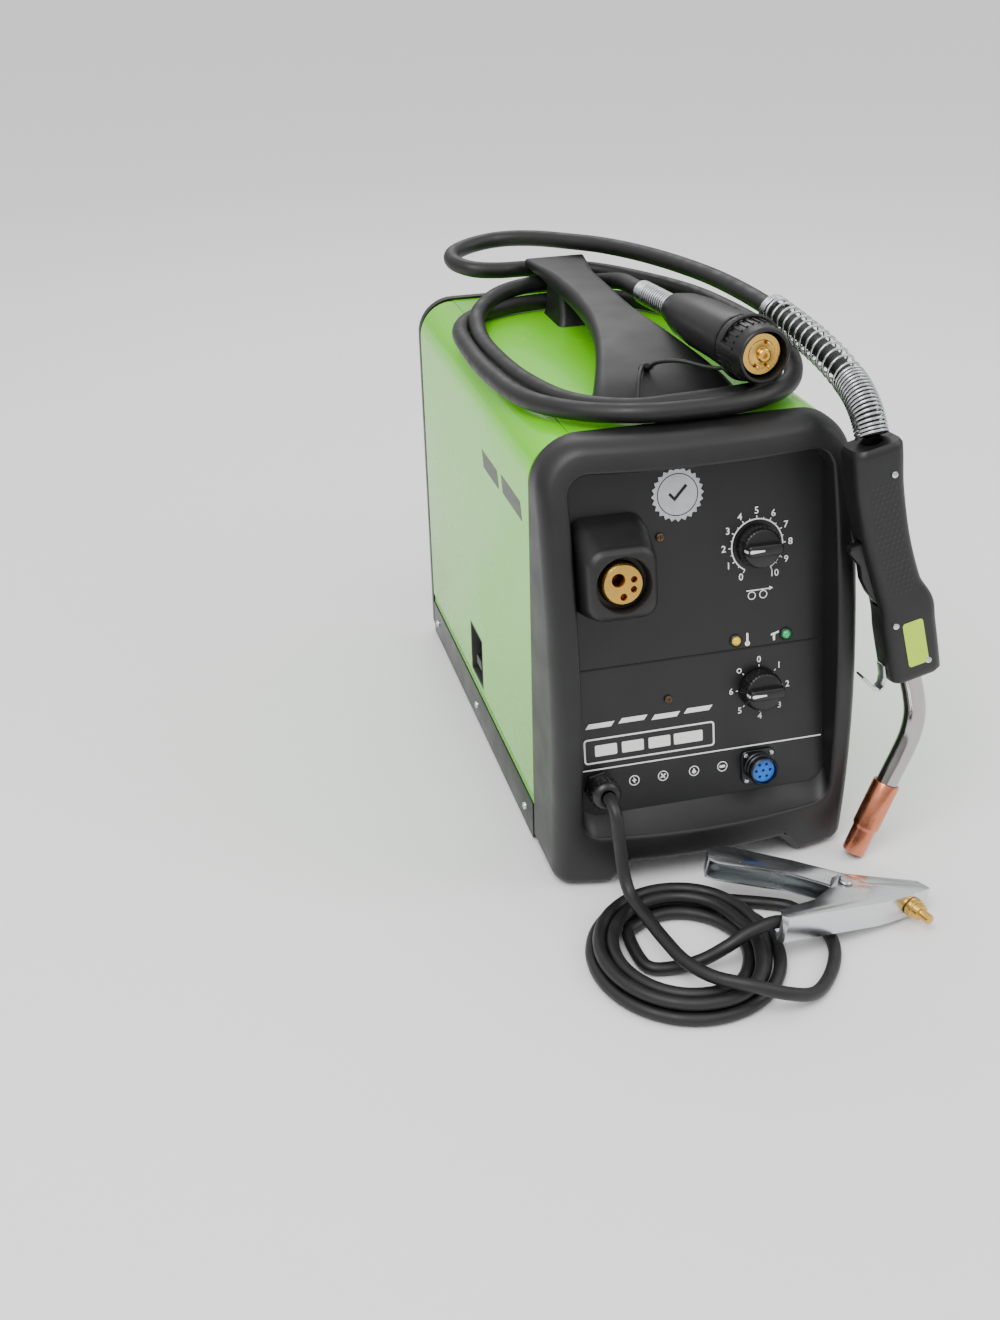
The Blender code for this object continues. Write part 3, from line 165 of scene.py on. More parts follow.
# Lamp lenses, lit faintly from behind.
AMBER = finish("amber_lens", "#d8b21a", "#e6c42c", patch_mm=3, rough=(0.08, 0.12), Coat_Weight=1.0,
               Emission_Color=linear("#d8a400"), Emission_Strength=0.25)
GREEN = finish("green_lens", "#0f9a55", "#18ac62", patch_mm=3, rough=(0.08, 0.12), Coat_Weight=1.0,
               Emission_Color=linear("#0b9c50"), Emission_Strength=0.25)
# Near-black for the panel seam line and the seal's print, and as painted shade filling the handle's eyelet hole.
DARK = finish("dark_marks_and_painted_shade", "#050505", "#080808", rough=(0.6, 0.7))


# ---------------------------------------------------------------- shapes
def skin(rings, closed=False):
    """Joins rings of equal length into (points, faces), capped or closed round on itself."""
    n = len(rings[0])
    points = [tuple(p) for ring in rings for p in ring]
    faces = []
    for r in range(len(rings) if closed else len(rings) - 1):
        a, b = r * n, ((r + 1) % len(rings)) * n
        faces += [(a + i, a + (i + 1) % n, b + (i + 1) % n, b + i) for i in range(n)]
    if not closed:
        faces += [tuple(range(n)), tuple(range((len(rings) - 1) * n, len(rings) * n))[::-1]]
    return points, faces


def lathe(profile, steps=48, closed=False, turn=0.0):
    """A solid turned about Z from (radius, height) points."""
    return skin([[(r * math.cos(turn + math.tau * i / steps), r * math.sin(turn + math.tau * i / steps), h)
                  for i in range(steps)] for r, h in profile], closed)


def slab(outline, low, high, edge=0.0):
    """A flat solid over an outline, with its top edge eased."""
    rings = [[(x, y, low) for x, y in outline], [(x, y, high - edge) for x, y in outline]]
    if edge:
        rings.append([(x, y, high) for x, y in inset(outline, edge)])
    return skin(rings)


def cuboid(low, high):
    (x0, y0, z0), (x1, y1, z1) = low, high
    return slab([(x0, y0), (x1, y0), (x1, y1), (x0, y1)], z0, z1)


def moved(shape, matrix):
    return [tuple(matrix @ Vector(p)) for p in shape[0]], shape[1]


def joined(*shapes):
    points, faces = [], []
    for p, f in shapes:
        faces += [tuple(i + len(points) for i in face) for face in f]
        points += p
    return points, faces


def rounded_rect(half_x, half_y, radius, steps=8, centre=(0.0, 0.0)):
    points = []
    for quarter, (sx, sy) in enumerate(((1, 1), (-1, 1), (-1, -1), (1, -1))):
        for i in range(steps + 1):
            a = math.pi / 2 * (quarter + i / steps)
            points.append((centre[0] + sx * (half_x - radius) + radius * math.cos(a),
                           centre[1] + sy * (half_y - radius) + radius * math.sin(a)))
    return points


def inset(outline, distance):
    """Moves a counter-clockwise outline inwards."""
    result = []
    for i, (x, z) in enumerate(outline):
        before, after = outline[i - 1], outline[(i + 1) % len(outline)]
        a = Vector((x - before[0], z - before[1])).normalized()
        b = Vector((after[0] - x, after[1] - z)).normalized()
        inward = Vector((-a.y - b.y, a.x + b.x)).normalized()
        reach = distance / max(0.5, inward.dot(Vector((-a.y, a.x))))
        result.append((x + inward.x * reach, z + inward.y * reach))
    return result


def smooth_route(points, spacing):
    """Evenly spaced points on a smooth curve through a route's own points; tuples of any length."""
    knots = [Vector(p) for p in points]
    ends = [knots[0] * 2 - knots[1]] + knots + [knots[-1] * 2 - knots[-2]]
    fine = []
    for p0, p1, p2, p3 in zip(ends, ends[1:], ends[2:], ends[3:]):
        for i in range(24):
            t = i / 24
            fine.append(0.5 * (2 * p1 + (p2 - p0) * t + (2 * p0 - 5 * p1 + 4 * p2 - p3) * t * t
                               + (3 * p1 - p0 - 3 * p2 + p3) * t * t * t))
    fine.append(knots[-1])
    length = sum((b - a).length for a, b in zip(fine, fine[1:]))
    count = max(2, round(length / spacing))
    step, walked, result = length / count, 0.0, [fine[0]]
    for a, b in zip(fine, fine[1:]):
        reach = (b - a).length
        while walked + reach >= step * len(result) - 1e-6 and len(result) < count:
            result.append(a.lerp(b, (step * len(result) - walked) / reach))
        walked += reach
    return result + [fine[-1]]


def between(table, value):
    """Reads a row from a table of (key, ...) rows on a smooth curve through them."""
    for i in range(len(table) - 1):
        if table[i][0] <= value <= table[i + 1][0] or i == len(table) - 2:
            p1, p2 = Vector(table[i][1:]), Vector(table[i + 1][1:])
            p0 = Vector(table[i - 1][1:]) if i else p1
            p3 = Vector(table[i + 2][1:]) if i + 2 < len(table) else p2
            t = (value - table[i][0]) / (table[i + 1][0] - table[i][0])
            return 0.5 * (2 * p1 + (p2 - p0) * t + (2 * p0 - 5 * p1 + 4 * p2 - p3) * t * t
                          + (3 * p1 - p0 - 3 * p2 + p3) * t * t * t)


def frames_along(path):
    """A frame at each point of a path, turned no more than it must be from one to the next."""
    tangents = [(path[min(i + 1, len(path) - 1)] - path[max(i - 1, 0)]).normalized() for i in range(len(path))]
    side = tangents[0].orthogonal().normalized()
    found = []
    for point, tangent in zip(path, tangents):
        side = (side - tangent * side.dot(tangent)).normalized()
        found.append((point, side, tangent.cross(side), tangent))
    return found


def bar(path, radius, steps=16, ends=True):
    """A round bar along a path, with eased ends."""
    rings = []
    for i, (p, u, v, t) in enumerate(frames_along(path)):
        r = radius * 0.75 if ends and i in (0, len(path) - 1) else radius
        rings.append([p + u * (r * math.cos(math.tau * k / steps)) + v * (r * math.sin(math.tau * k / steps))
                      for k in range(steps)])
    return skin(rings)


def frame_from(origin, z_axis, x_hint):
    z = Vector(z_axis).normalized()
    x = (Vector(x_hint) - z * Vector(x_hint).dot(z)).normalized()
    return Matrix.Translation(Vector(origin)) @ Matrix((x, z.cross(x), z)).transposed().to_4x4()


def panel(x, up, out=0.0, turn=0.0):
    """A frame on the control panel: X right, Y up the panel, Z out of it."""
    up_axis = Vector((0, math.sin(PANEL_TILT), math.cos(PANEL_TILT)))
    out_axis = Vector((0, -math.cos(PANEL_TILT), math.sin(PANEL_TILT)))
    origin = Vector((x, PANEL_Y, PANEL_Z)) + up_axis * up + out_axis * out
    return frame_from(origin, out_axis, (1, 0, 0)) @ Matrix.Rotation(turn, 4, "Z")


def panel_y(z):
    """The panel's Y at a height."""
    return PANEL_Y + (z - PANEL_Z) * math.tan(PANEL_TILT)


def evaluated(obj):
    """The mesh of an object with its modifiers."""
    graph = bpy.context.evaluated_depsgraph_get()
    graph.update()
    return bpy.data.meshes.new_from_object(obj.evaluated_get(graph))


def bare(name, shape):
    """A plain object from a shape, in metres, with its faces turned outwards."""
    mesh = bpy.data.meshes.new(name)
    mesh.from_pydata([Vector(p) * MM for p in shape[0]], [], shape[1])
    bm = bmesh.new()
    bm.from_mesh(mesh)
    bmesh.ops.recalc_face_normals(bm, faces=bm.faces)
    bm.to_mesh(mesh)
    bm.free()
    obj = bpy.data.objects.new(name, mesh)
    bpy.context.scene.collection.objects.link(obj)
    return obj


def apply_modifiers(obj):
    mesh = evaluated(obj)
    obj.modifiers.clear()
    obj.data = mesh


def declare(obj, material, body, stands_for, bevel, bevel_from, smooth):
    """Eases a piece's edges, shades and paints it, says what it rides on and hides the parts it stands for."""
    if bevel:
        step = obj.modifiers.new("eased", "BEVEL")
        step.width, step.segments, step.limit_method = bevel * MM, 2, "ANGLE"
        step.angle_limit = math.radians(bevel_from)
        apply_modifiers(obj)
    if obj.data.attributes.get("custom_normal"):
        obj.data.attributes.remove(obj.data.attributes["custom_normal"])
    obj.data.shade_smooth()
    obj.data.set_sharp_from_angle(angle=math.radians(smooth))
    obj.data.materials.clear()
    obj.data.materials.append(material)
    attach(obj, body)
    if stands_for:
        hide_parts(*stands_for)


def piece(name, shape, material, body="machine", stands_for=(), cuts=(), bevel=0.0, smooth=35):
    """Makes a finished piece from a shape, less the shapes cut from it."""
    obj = bare(name, shape)
    for cutter in cuts:
        tool = bare("tool", cutter)
        step = obj.modifiers.new("hole", "BOOLEAN")
        step.object, step.operation, step.solver = tool, "DIFFERENCE", "EXACT"
        apply_modifiers(obj)
        bpy.data.objects.remove(tool)
    declare(obj, material, body, stands_for, bevel, 40, smooth)


def lettering(text, size, matrix, height=0.15):
    """Characters as a thin raised print, centred on a frame."""
    curve = bpy.data.curves.new("mark", "FONT")
    curve.body, curve.size, curve.extrude, curve.resolution_u = text, size, height / 2, 3
    curve.align_x, curve.align_y, curve.offset = "CENTER", "CENTER", size * 0.012
    obj = bpy.data.objects.new("mark", curve)
    bpy.context.scene.collection.objects.link(obj)
    mesh = evaluated(obj)
    shape = ([tuple(matrix @ v.co) for v in mesh.vertices], [tuple(p.vertices) for p in mesh.polygons])
    bpy.data.objects.remove(obj)
    return shape


# ---------------------------------------------------------------- casing
def half_outline(bottom, side_x, low_radius, high_radius, low_z, top_z, top_half):
    """The right half of a front outline from its bottom centre, mirrored to a closed one."""
    points = list(bottom)
    for i in range(1, 9):
        a = -math.pi / 2 + math.pi / 2 * i / 8
        points.append((side_x - low_radius + low_radius * math.cos(a), low_z + low_radius + low_radius * math.sin(a)))
    z0, z1 = low_z + low_radius, top_z - high_radius
    points += [(side_x, z0 + (z1 - z0) * i / 12) for i in range(1, 12)]
    for i in range(13):
        a = math.pi / 2 * i / 12
        points.append((side_x - high_radius + high_radius * math.cos(a),
                       top_z - high_radius + high_radius * math.sin(a)))
    points += [(top_half * (1 - i / 5), top_z) for i in range(1, 6)]
    return points + [(-x, z) for x, z in points[1:-1]][::-1]


FOOTED = [(0, 20), (16, 20), (32, 20), (47, 20), (62, 20), (68, 13.3), (74, 6.7), (80, 0), (89, 0), (98, 0), (112, 0)]


def plain_bottom(half, z):
    return [(half * i / 10, z) for i in range(11)]


def bezel_face_y(x, z):
    """The front face leans back with height and bows forward in the middle."""
    return -255.0 + 44.0 * ((z - 90.0) / 247.0) ** 2 + 16.0 * (x / 120.0) ** 2


def front_bezel():
    """The moulded frame round the sunken control panel, with its feet."""
    outer = half_outline(FOOTED, HALF_WIDTH, 13, 38, 0, 361, 87)
    opening = half_outline(plain_bottom(89, 50), 104, 15, 16, 50, 338, 88)
    floor_line = half_outline(plain_bottom(88, 64), 103, 15, 15, 64, 334, 88)
    flange = half_outline(plain_bottom(97, 45), 117, 20, 32, 45, 353, 85)

    def ring(outline, y_of):
        return [(x, y_of(x, z), z) for x, z in outline]

    def at_depth(depth):
        return lambda x, z: bezel_face_y(x, z) + depth

    rings = [ring(outer, lambda x, z: COVER_FRONT_Y - 1.0), ring(outer, lambda x, z: COVER_FRONT_Y - 6.0)]
    for i in range(9):
        a = math.pi / 2 * i / 8
        rings.append(ring(inset(outer, 9.5 * (1 - math.cos(a))), at_depth(14 * (1 - math.sin(a)))))
    for i in range(5):
        a = math.pi / 2 * i / 4
        rings.append(ring(inset(opening, -3.5 * (1 - math.sin(a))), at_depth(3.5 * (1 - math.cos(a)))))
    rings += [ring(floor_line, lambda x, z: panel_y(z)), ring(flange, lambda x, z: panel_y(z)),
              ring(inset(outer, 4), at_depth(5.0)), ring(inset(outer, 4), lambda x, z: COVER_FRONT_Y - 1.0)]
    piece("front_bezel_moulding", skin(rings, closed=True), ABS, stands_for=["front_bezel"], smooth=50)


FAN_X, FAN_Z, FAN_R = 50.0, 200.0, 46.0


def rear_panel():
    """The rear moulding, with fan slots and two round holes."""
    outer = half_outline(FOOTED, HALF_WIDTH, 13, 34, 0, 359, 90)

    def ring(outline, y):
        return [(x, y, z) for x, z in outline]

    rings = [ring(inset(outer, 3), 247.0), ring(inset(outer, 3), 242.0), ring(outer, 242.0), ring(outer, 250.0)]
    rings += [ring(inset(outer, 5 * (1 - math.cos(math.pi / 2 * i / 5))), 250 + 5 * math.sin(math.pi / 2 * i / 5))
              for i in range(1, 6)]
    rings += [ring(inset(outer, 8.5), 255.0), ring(inset(outer, 9.5), 250.0)]
    cuts = [moved(lathe([(r, -20), (r, 20)]), frame_from((x, 250, z), (0, 1, 0), (1, 0, 0)))
            for x, z, r in ((60, 75, 10.5), (-60, 75, 8.5))]
    for row in range(-3, 4):
        z = FAN_Z + 13 * row
        reach = math.sqrt((FAN_R + 3) ** 2 - (13 * abs(row) + 4.5) ** 2)
        for side in (-1, 1):
            low, high = sorted((FAN_X + side * 2.5, FAN_X + side * reach))
            cuts.append(cuboid((low, 235, z - 4.5), (high, 265, z + 4.5)))
    piece("rear_moulding", skin(rings), ABS, stands_for=["rear_panel"], cuts=[joined(*cuts)], smooth=40)


def fold(side, edge, end_x, inner=0.0):
    """Points up one side of the casing and over its rounded corner."""
    centre_x, centre_z, r = HALF_WIDTH - CORNER_RADIUS, COVER_TOP - CORNER_RADIUS, CORNER_RADIUS - inner
    points = [(side * (HALF_WIDTH - inner), edge)]
    points += [(side * (centre_x + r * math.cos(math.pi / 2 * i / 24)), centre_z + r * math.sin(math.pi / 2 * i / 24))
               for i in range(25)]
    return points + [(end_x, COVER_TOP - inner)]


def folded_sheet(outline, y0, y1):
    return skin([[(x, y, z) for x, z in outline] for y in (y0, y1)])


def top_cover():
    """The folded sheet over the top and right side, with louvres."""
    outside = fold(1, 38.0, SEAM_X) + [(SEAM_X, COVER_TOP - 11)]
    inside = fold(1, 38.0, SEAM_X + 1.5, 1.5) + [(SEAM_X + 1.5, COVER_TOP - 11)]
    louvres = joined(*[cuboid((110, -60 + 16 * i, 250), (140, -52 + 16 * i, 300)) for i in range(9)])
    piece("cover_sheet", folded_sheet(outside + inside[::-1], COVER_FRONT_Y, COVER_REAR_Y), LIME,
          stands_for=["top_cover"], cuts=[louvres], smooth=30)
    hoods = [moved(skin([[(0, -4.4, z), (4.4 * s, -1, z), (4.4 * s, 3, z), (0, 4.6, z)]
                         for z, s in ((-26, 0.1), (-23, 0.8), (0, 1), (23, 0.8), (26, 0.1))]),
                   Matrix.Translation((124.6, -56 + 16 * i, 275))) for i in range(9)]
    piece("louvre_hoods", joined(*hoods), LIME, smooth=30)


def side_door():
    """The door's folded sheet, its lips and its hinge knuckles."""
    outside = [(-124.0, 38.5), (-124.0, 46.0)] + fold(-1, 48.0, SEAM_X - 0.6)
    inside = [(-122.5, 38.5), (-122.5, 46.0)] + fold(-1, 48.0, SEAM_X - 0.6, 1.5)
    skin_sheet = folded_sheet(outside + inside[::-1], COVER_FRONT_Y + 0.5, 239.0)
    inner_lip = cuboid((-123.9, COVER_FRONT_Y + 0.7, 38.6), (-116, 227, 40))
    front_lip = cuboid((-123.9, COVER_FRONT_Y + 0.6, 39), (-116, COVER_FRONT_Y + 2, 322))
    knuckles = [moved(lathe([(2.6, -14), (2.6, 14)], 20), Matrix.Translation((*DOOR_HINGE, z)))
                for z in (100, 180, 260)]
    piece("door_sheet", skin_sheet, LIME, "side_door", ["side_door"],
          cuts=[cuboid((-130, 10.0, 52.0), (-120, 58.0, 104.0))], smooth=30)
    piece("door_lips", joined(inner_lip, front_lip, *knuckles), LIME, "side_door")


def base_rail():
    """The folded tray that the case stands on."""
    pan = joined(cuboid((-125, -163, 3), (125, COVER_REAR_Y, 5)),
                 *[cuboid((s * 125 - (0 if s < 0 else 2), -163, 3), (s * 125 + (2 if s < 0 else 0), COVER_REAR_Y, 37.5))
                   for s in (-1, 1)],
                 cuboid((-123, -163, 5), (123, -161, 37.5)), cuboid((-123, 239.5, 5), (123, COVER_REAR_Y, 37.5)),
                 cuboid((-111.5, 24, 4), (-109.5, 44, 36)))
    piece("base_tray", pan, PANEL_COAT, stands_for=["base_pan"], bevel=0.5)
    screws = [moved(screw_head(3.4), frame_from((s * 125, y, 21), (s, 0, 0), (0, 0, 1)))
              for s in (-1, 1) for y in (-140, 40, 220)]
    piece("rail_screws", joined(*screws), ZINC)


def screw_head(radius):
    """A pan head with a cross recess pressed into it."""
    rings = []
    steps = 32
    for r, h in ((1.0, 0.0), (1.0, 0.35), (0.9, 0.55), (0.6, 0.7), (0.32, 0.72)):
        rings.append([(radius * r * math.cos(math.tau * i / steps), radius * r * math.sin(math.tau * i / steps),
                       radius * h) for i in range(steps)])
    inner = []
    for i in range(steps):
        a = math.tau * i / steps
        arm = 0.62 if i % 8 in (0, 1, 7) else 0.16
        inner.append((radius * arm * 0.8 * math.cos(a), radius * arm * 0.8 * math.sin(a), radius * 0.45))
    rim = []
    for i in range(steps):
        a = math.tau * i / steps
        arm = 0.62 if i % 8 in (0, 1, 7) else 0.2
        rim.append((radius * arm * math.cos(a), radius * arm * math.sin(a), radius * 0.69))
    return skin(rings[:4] + [rim, inner])


HANDLE_SECTIONS = (  # station, centre y, centre z, half width, half thickness, lean
    (0, -114, 357.6, 59, 15, 0), (1, -104, 361.5, 56, 13, 35), (2, -87, 369, 49, 10, 60), (3, -52, 378.5, 37, 9, 72),
    (4, -15, 384, 28, 9, 82), (5, 30, 387.5, 21.5, 9.5, 87), (6, 85, 391, 20, 9.5, 90), (7, 140, 392.5, 21, 8.5, 90),
    (8, 172, 395.5, 25, 5.5, 90), (9, 200, 397, 29, 4, 90))


def carry_handle():
    """The swept handle, its eyelet and the post that holds its rear end."""
    rings = []
    for i in range(73):
        y, z, half, thick, lean = between(HANDLE_SECTIONS, i / 8)
        a = math.radians(lean)
        across = Vector((0, -math.cos(a), math.sin(a)))
        outline = rounded_rect(half, thick, min(thick * 0.75, 7.5), 7)
        rings.append([Vector((0, y, z)) + Vector((u, 0, 0)) + across * v for u, v in outline])
    end = rings[-1]
    middle = sum((Vector(p) for p in end), Vector()) / len(end)
    rings.append([middle + (p - middle) * 0.93 + Vector((0, 1.0, 0)) for p in end])
    piece("handle_moulding", skin(rings), ABS, stands_for=["carry_handle"], smooth=50)
    eyelet = lathe([(5.0, -0.4), (6.6, -0.4), (6.9, 0.4), (6.3, 1.0), (5.2, 0.9)], 40, True)
    lean = frame_from((-8, -92, 376.0), (0, -0.83, 0.56), (1, 0, 0))
    piece("handle_eyelet", moved(eyelet, lean), NYLON)
    # The dark disc in the eyelet is painted shade: it fills the hole where the tie passes through the handle.
    piece("handle_hole_painted_shade", moved(lathe([(0.2, -0.2), (5.1, -0.2), (5.1, 0.35), (0.2, 0.35)], 40), lean), DARK)
    post = [[(x, y, z) for x, y in rounded_rect(hx, (y1 - y0) / 2, 6, 6, centre=(0, (y0 + y1) / 2))]
            for z, hx, y0, y1 in ((357.4, 20, 114, 172), (360, 19, 115, 171), (366, 18, 118, 170), (389, 17, 125, 170))]
    piece("handle_post", skin(post), ABS, smooth=50)


# ---------------------------------------------------------------- control panel
def torch_hood():
    """The hood round the torch socket, and the brass socket in it."""
    table = ((0, 0.3, 30, 30, 44, 12), (1, 12, 29.6, 29.6, 41, 12.5), (2, 24, 28.6, 28.8, 34.5, 13),
             (3, 35, 27.2, 27.6, 28.8, 13), (4, 39.5, 25.6, 26, 26.6, 12), (5, 42, 22.5, 23, 23.4, 10))
    levels = [between(table, i / 6) for i in range(31)]
    rings = []
    for out, half, down, up, radius in levels:
        outline = rounded_rect(half, (down + up) / 2, radius, 9, centre=(0, (up - down) / 2))
        rings.append([(x, y, out) for x, y in outline])
    place = panel(SOCKET_X, SOCKET_UP)
    bore = lathe([(17, -5), (17, 50)], 64)
    mouth = lathe([(20.0, 31), (21, 41), (22.2, 43), (22.2, 50)], 64)
    piece("socket_hood", moved(skin(rings), place), ABS, stands_for=["torch_socket_housing"],
          cuts=[moved(bore, place), moved(mouth, place)], smooth=50)
    face = lathe([(16.5, -14), (16.5, 36.6), (16.0, 37.6), (15.2, 38.4), (14.6, 39.0)], 64)
    holes = [moved(lathe([(r, d), (r, 37.8), (r + 0.8, 39.2), (r + 0.8, 50)], 40),
                   place @ Matrix.Translation((x, y, 0)))
             for x, y, r, d in ((-3.5, 3.5, 4.6, 6), (8.5, 3.0, 1.9, 28), (8.0, -4.5, 1.9, 28), (0.0, -9.5, 2.1, 28))]
    piece("socket_brass", moved(face, place), BRASS, stands_for=["torch_socket"], cuts=holes)


def gland():
    """The hexagon and ribbed nut that hold the work lead."""
    place = panel(-87, -12)
    base = joined(lathe([(5.6, 0.4), (12.9, 0.4), (12.9, 3.0), (12.3, 3.6), (5.6, 3.6)], 6, True, 0.2),
                  lathe([(5.6, 3.4), (10.8, 3.4), (10.8, 9.2), (5.6, 9.2)], 48, True))
    ribs = []
    for i in range(18):
        a = math.tau * i / 18
        ribs.append(moved(cuboid((-0.9, -0.7, 9.4), (0.9, 0.7, 20)), Matrix.Rotation(a, 4, "Z") @
                          Matrix.Translation((11.6, 0, 0))))
    nut = lathe([(5.7, 9.2), (11.7, 9.2), (11.9, 10), (11.7, 20.2), (10.6, 22.4), (8.4, 24.2), (6.6, 24.8),
                 (5.7, 24.6)], 48, True)
    piece("gland_nut", moved(joined(base, nut, *ribs), place), NYLON, stands_for=["work_lead_gland"])


def remote_socket():
    """The seven-hole socket with its flange, ring and blue insert."""
    place = panel(REMOTE_X, REMOTE_UP)
    flange = slab(rounded_rect(14.2, 14.2, 5), 0.3, 2.4, 0.4)
    bore = lathe([(10.0, -6), (10.0, 20)], 48)
    piece("remote_flange", moved(flange, place), ZINC_DARK, cuts=[moved(bore, place)])
    ring = lathe([(10.1, 2.2), (12.0, 2.2), (12.1, 3.2), (11.4, 4), (11.4, 6), (12.1, 6.8), (12.1, 8.4), (11.4, 9.2),
                  (11.4, 11), (12.1, 11.8), (12.1, 13.4), (11.6, 15.2), (10.9, 15.8), (10.3, 15.6), (10.1, 15)],
                 56, True)
    piece("remote_shell", moved(ring, place), ZINC_DARK, stands_for=["remote_socket_shell"])
    insert = lathe([(9.9, -6), (9.9, 11.4), (9.5, 12)], 48)
    holes = [place @ Matrix.Translation((5.8 * math.cos(math.tau * i / 6), 5.8 * math.sin(math.tau * i / 6), 0))
             for i in range(6)] + [place]
    piece("remote_insert", moved(insert, place), BLUE, stands_for=["remote_socket_insert"],
          cuts=[joined(*[moved(lathe([(1.25, 4), (1.25, 20)], 16), m) for m in holes])])
    screws = [moved(screw_head(2.0), panel(REMOTE_X + sx * 10.8, REMOTE_UP + sy * 10.8, 2.4))
              for sy in (1, -1) for sx in (-1, 1)]
    piece("remote_screws", joined(*screws), ZINC)


def knob(name, up):
    """A dial knob: a ribbed skirt, a raised grip across it and a white pointer on the grip."""
    place = panel(DIAL_X, up)
    steps = 120
    rings = []
    for r, h, rib in ((15.6, 0.8, 0), (16.6, 1.2, 0.25), (16.7, 3.2, 0.3), (16.1, 8.0, 0.3), (15.4, 11.2, 0.25),
                      (14.6, 12.4, 0.0), (13.2, 12.9, 0.0)):
        rings.append([((r + rib * math.cos(30 * math.tau * i / steps)) * math.cos(math.tau * i / steps),
                       (r + rib * math.cos(30 * math.tau * i / steps)) * math.sin(math.tau * i / steps), h)
                      for i in range(steps)])
    grip = [[(x, y, z) for x, y in rounded_rect(15.0 - s, 4.8 - s * 0.8, 3.2 - s * 0.5, 6)]
            for z, s in ((8, 0.0), (16.5, 0.3), (18.0, 0.7), (18.8, 1.6), (19.0, 2.6))]
    stem = lathe([(3, -9), (3, 3)], 24)
    piece(name + "_cap", moved(joined(skin(rings), skin(grip), stem), place), NYLON, name, stands_for=[name], smooth=40)
    mark = slab([(-1.5, -0.6), (-1.5, 0.6), (-12.2, 1.3), (-13.4, 0.7), (-13.4, -0.7), (-12.2, -1.3)], 18.98, 19.2)
    side = slab([(-15.2, -0.9), (-14.2, -0.9), (-14.2, 0.9), (-15.2, 0.9)], 9, 17.6)
    piece(name + "_pointer", moved(joined(mark, side), place), INK, name)


def lamps():
    """Two domed lamps in rings."""
    for name, x, material, slot in (("thermal_lamp", 29.8, AMBER, "amber_lens"),
                                    ("power_lamp", 71.7, GREEN, "green_lens")):
        dome = lathe([(3.7, -5)] + [(3.7 * math.cos(math.pi / 2 * i / 9), 0.5 + 2.9 * math.sin(math.pi / 2 * i / 9))
                                    for i in range(9)] + [(0.25, 3.4)], 32)
        piece(name + "_lens", moved(dome, panel(x, LAMP_UP)), material, stands_for=[name])
        ring = lathe([(3.85, 0.02), (5.2, 0.02), (5.1, 0.9), (4.6, 1.3), (3.85, 1.2)], 40, True)
        piece(name + "_bezel", moved(ring, panel(x, LAMP_UP)), NYLON)


def disc_ring(inner, outer, start=0.0, end=360.0, steps=72):
    """A flat arc of print between two angles, in degrees clockwise from the top."""
    closed = end - start >= 360
    rows = []
    for i in range(steps if closed else steps + 1):
        a = math.radians(90 - start - (end - start) * i / steps)
        c, s = math.cos(a), math.sin(a)
        rows.append([(inner * c, inner * s, 0), (outer * c, outer * s, 0), (outer * c, outer * s, 0.15),
                     (inner * c, inner * s, 0.15)])
    return skin(rows, closed)


def on_circle(x, up, radius, degrees, out=0.1, turn=0.0):
    """A frame on a circle on the panel, in degrees clockwise from the top."""
    a = math.radians(90 - degrees)
    return panel(x + radius * math.cos(a), up + radius * math.sin(a), out, turn)


def flat(outline, x, up, out=0.05, turn=0.0, thick=0.15):
    """A flat print on the panel."""
    return moved(slab(outline, 0, thick), panel(x, up, out, turn))


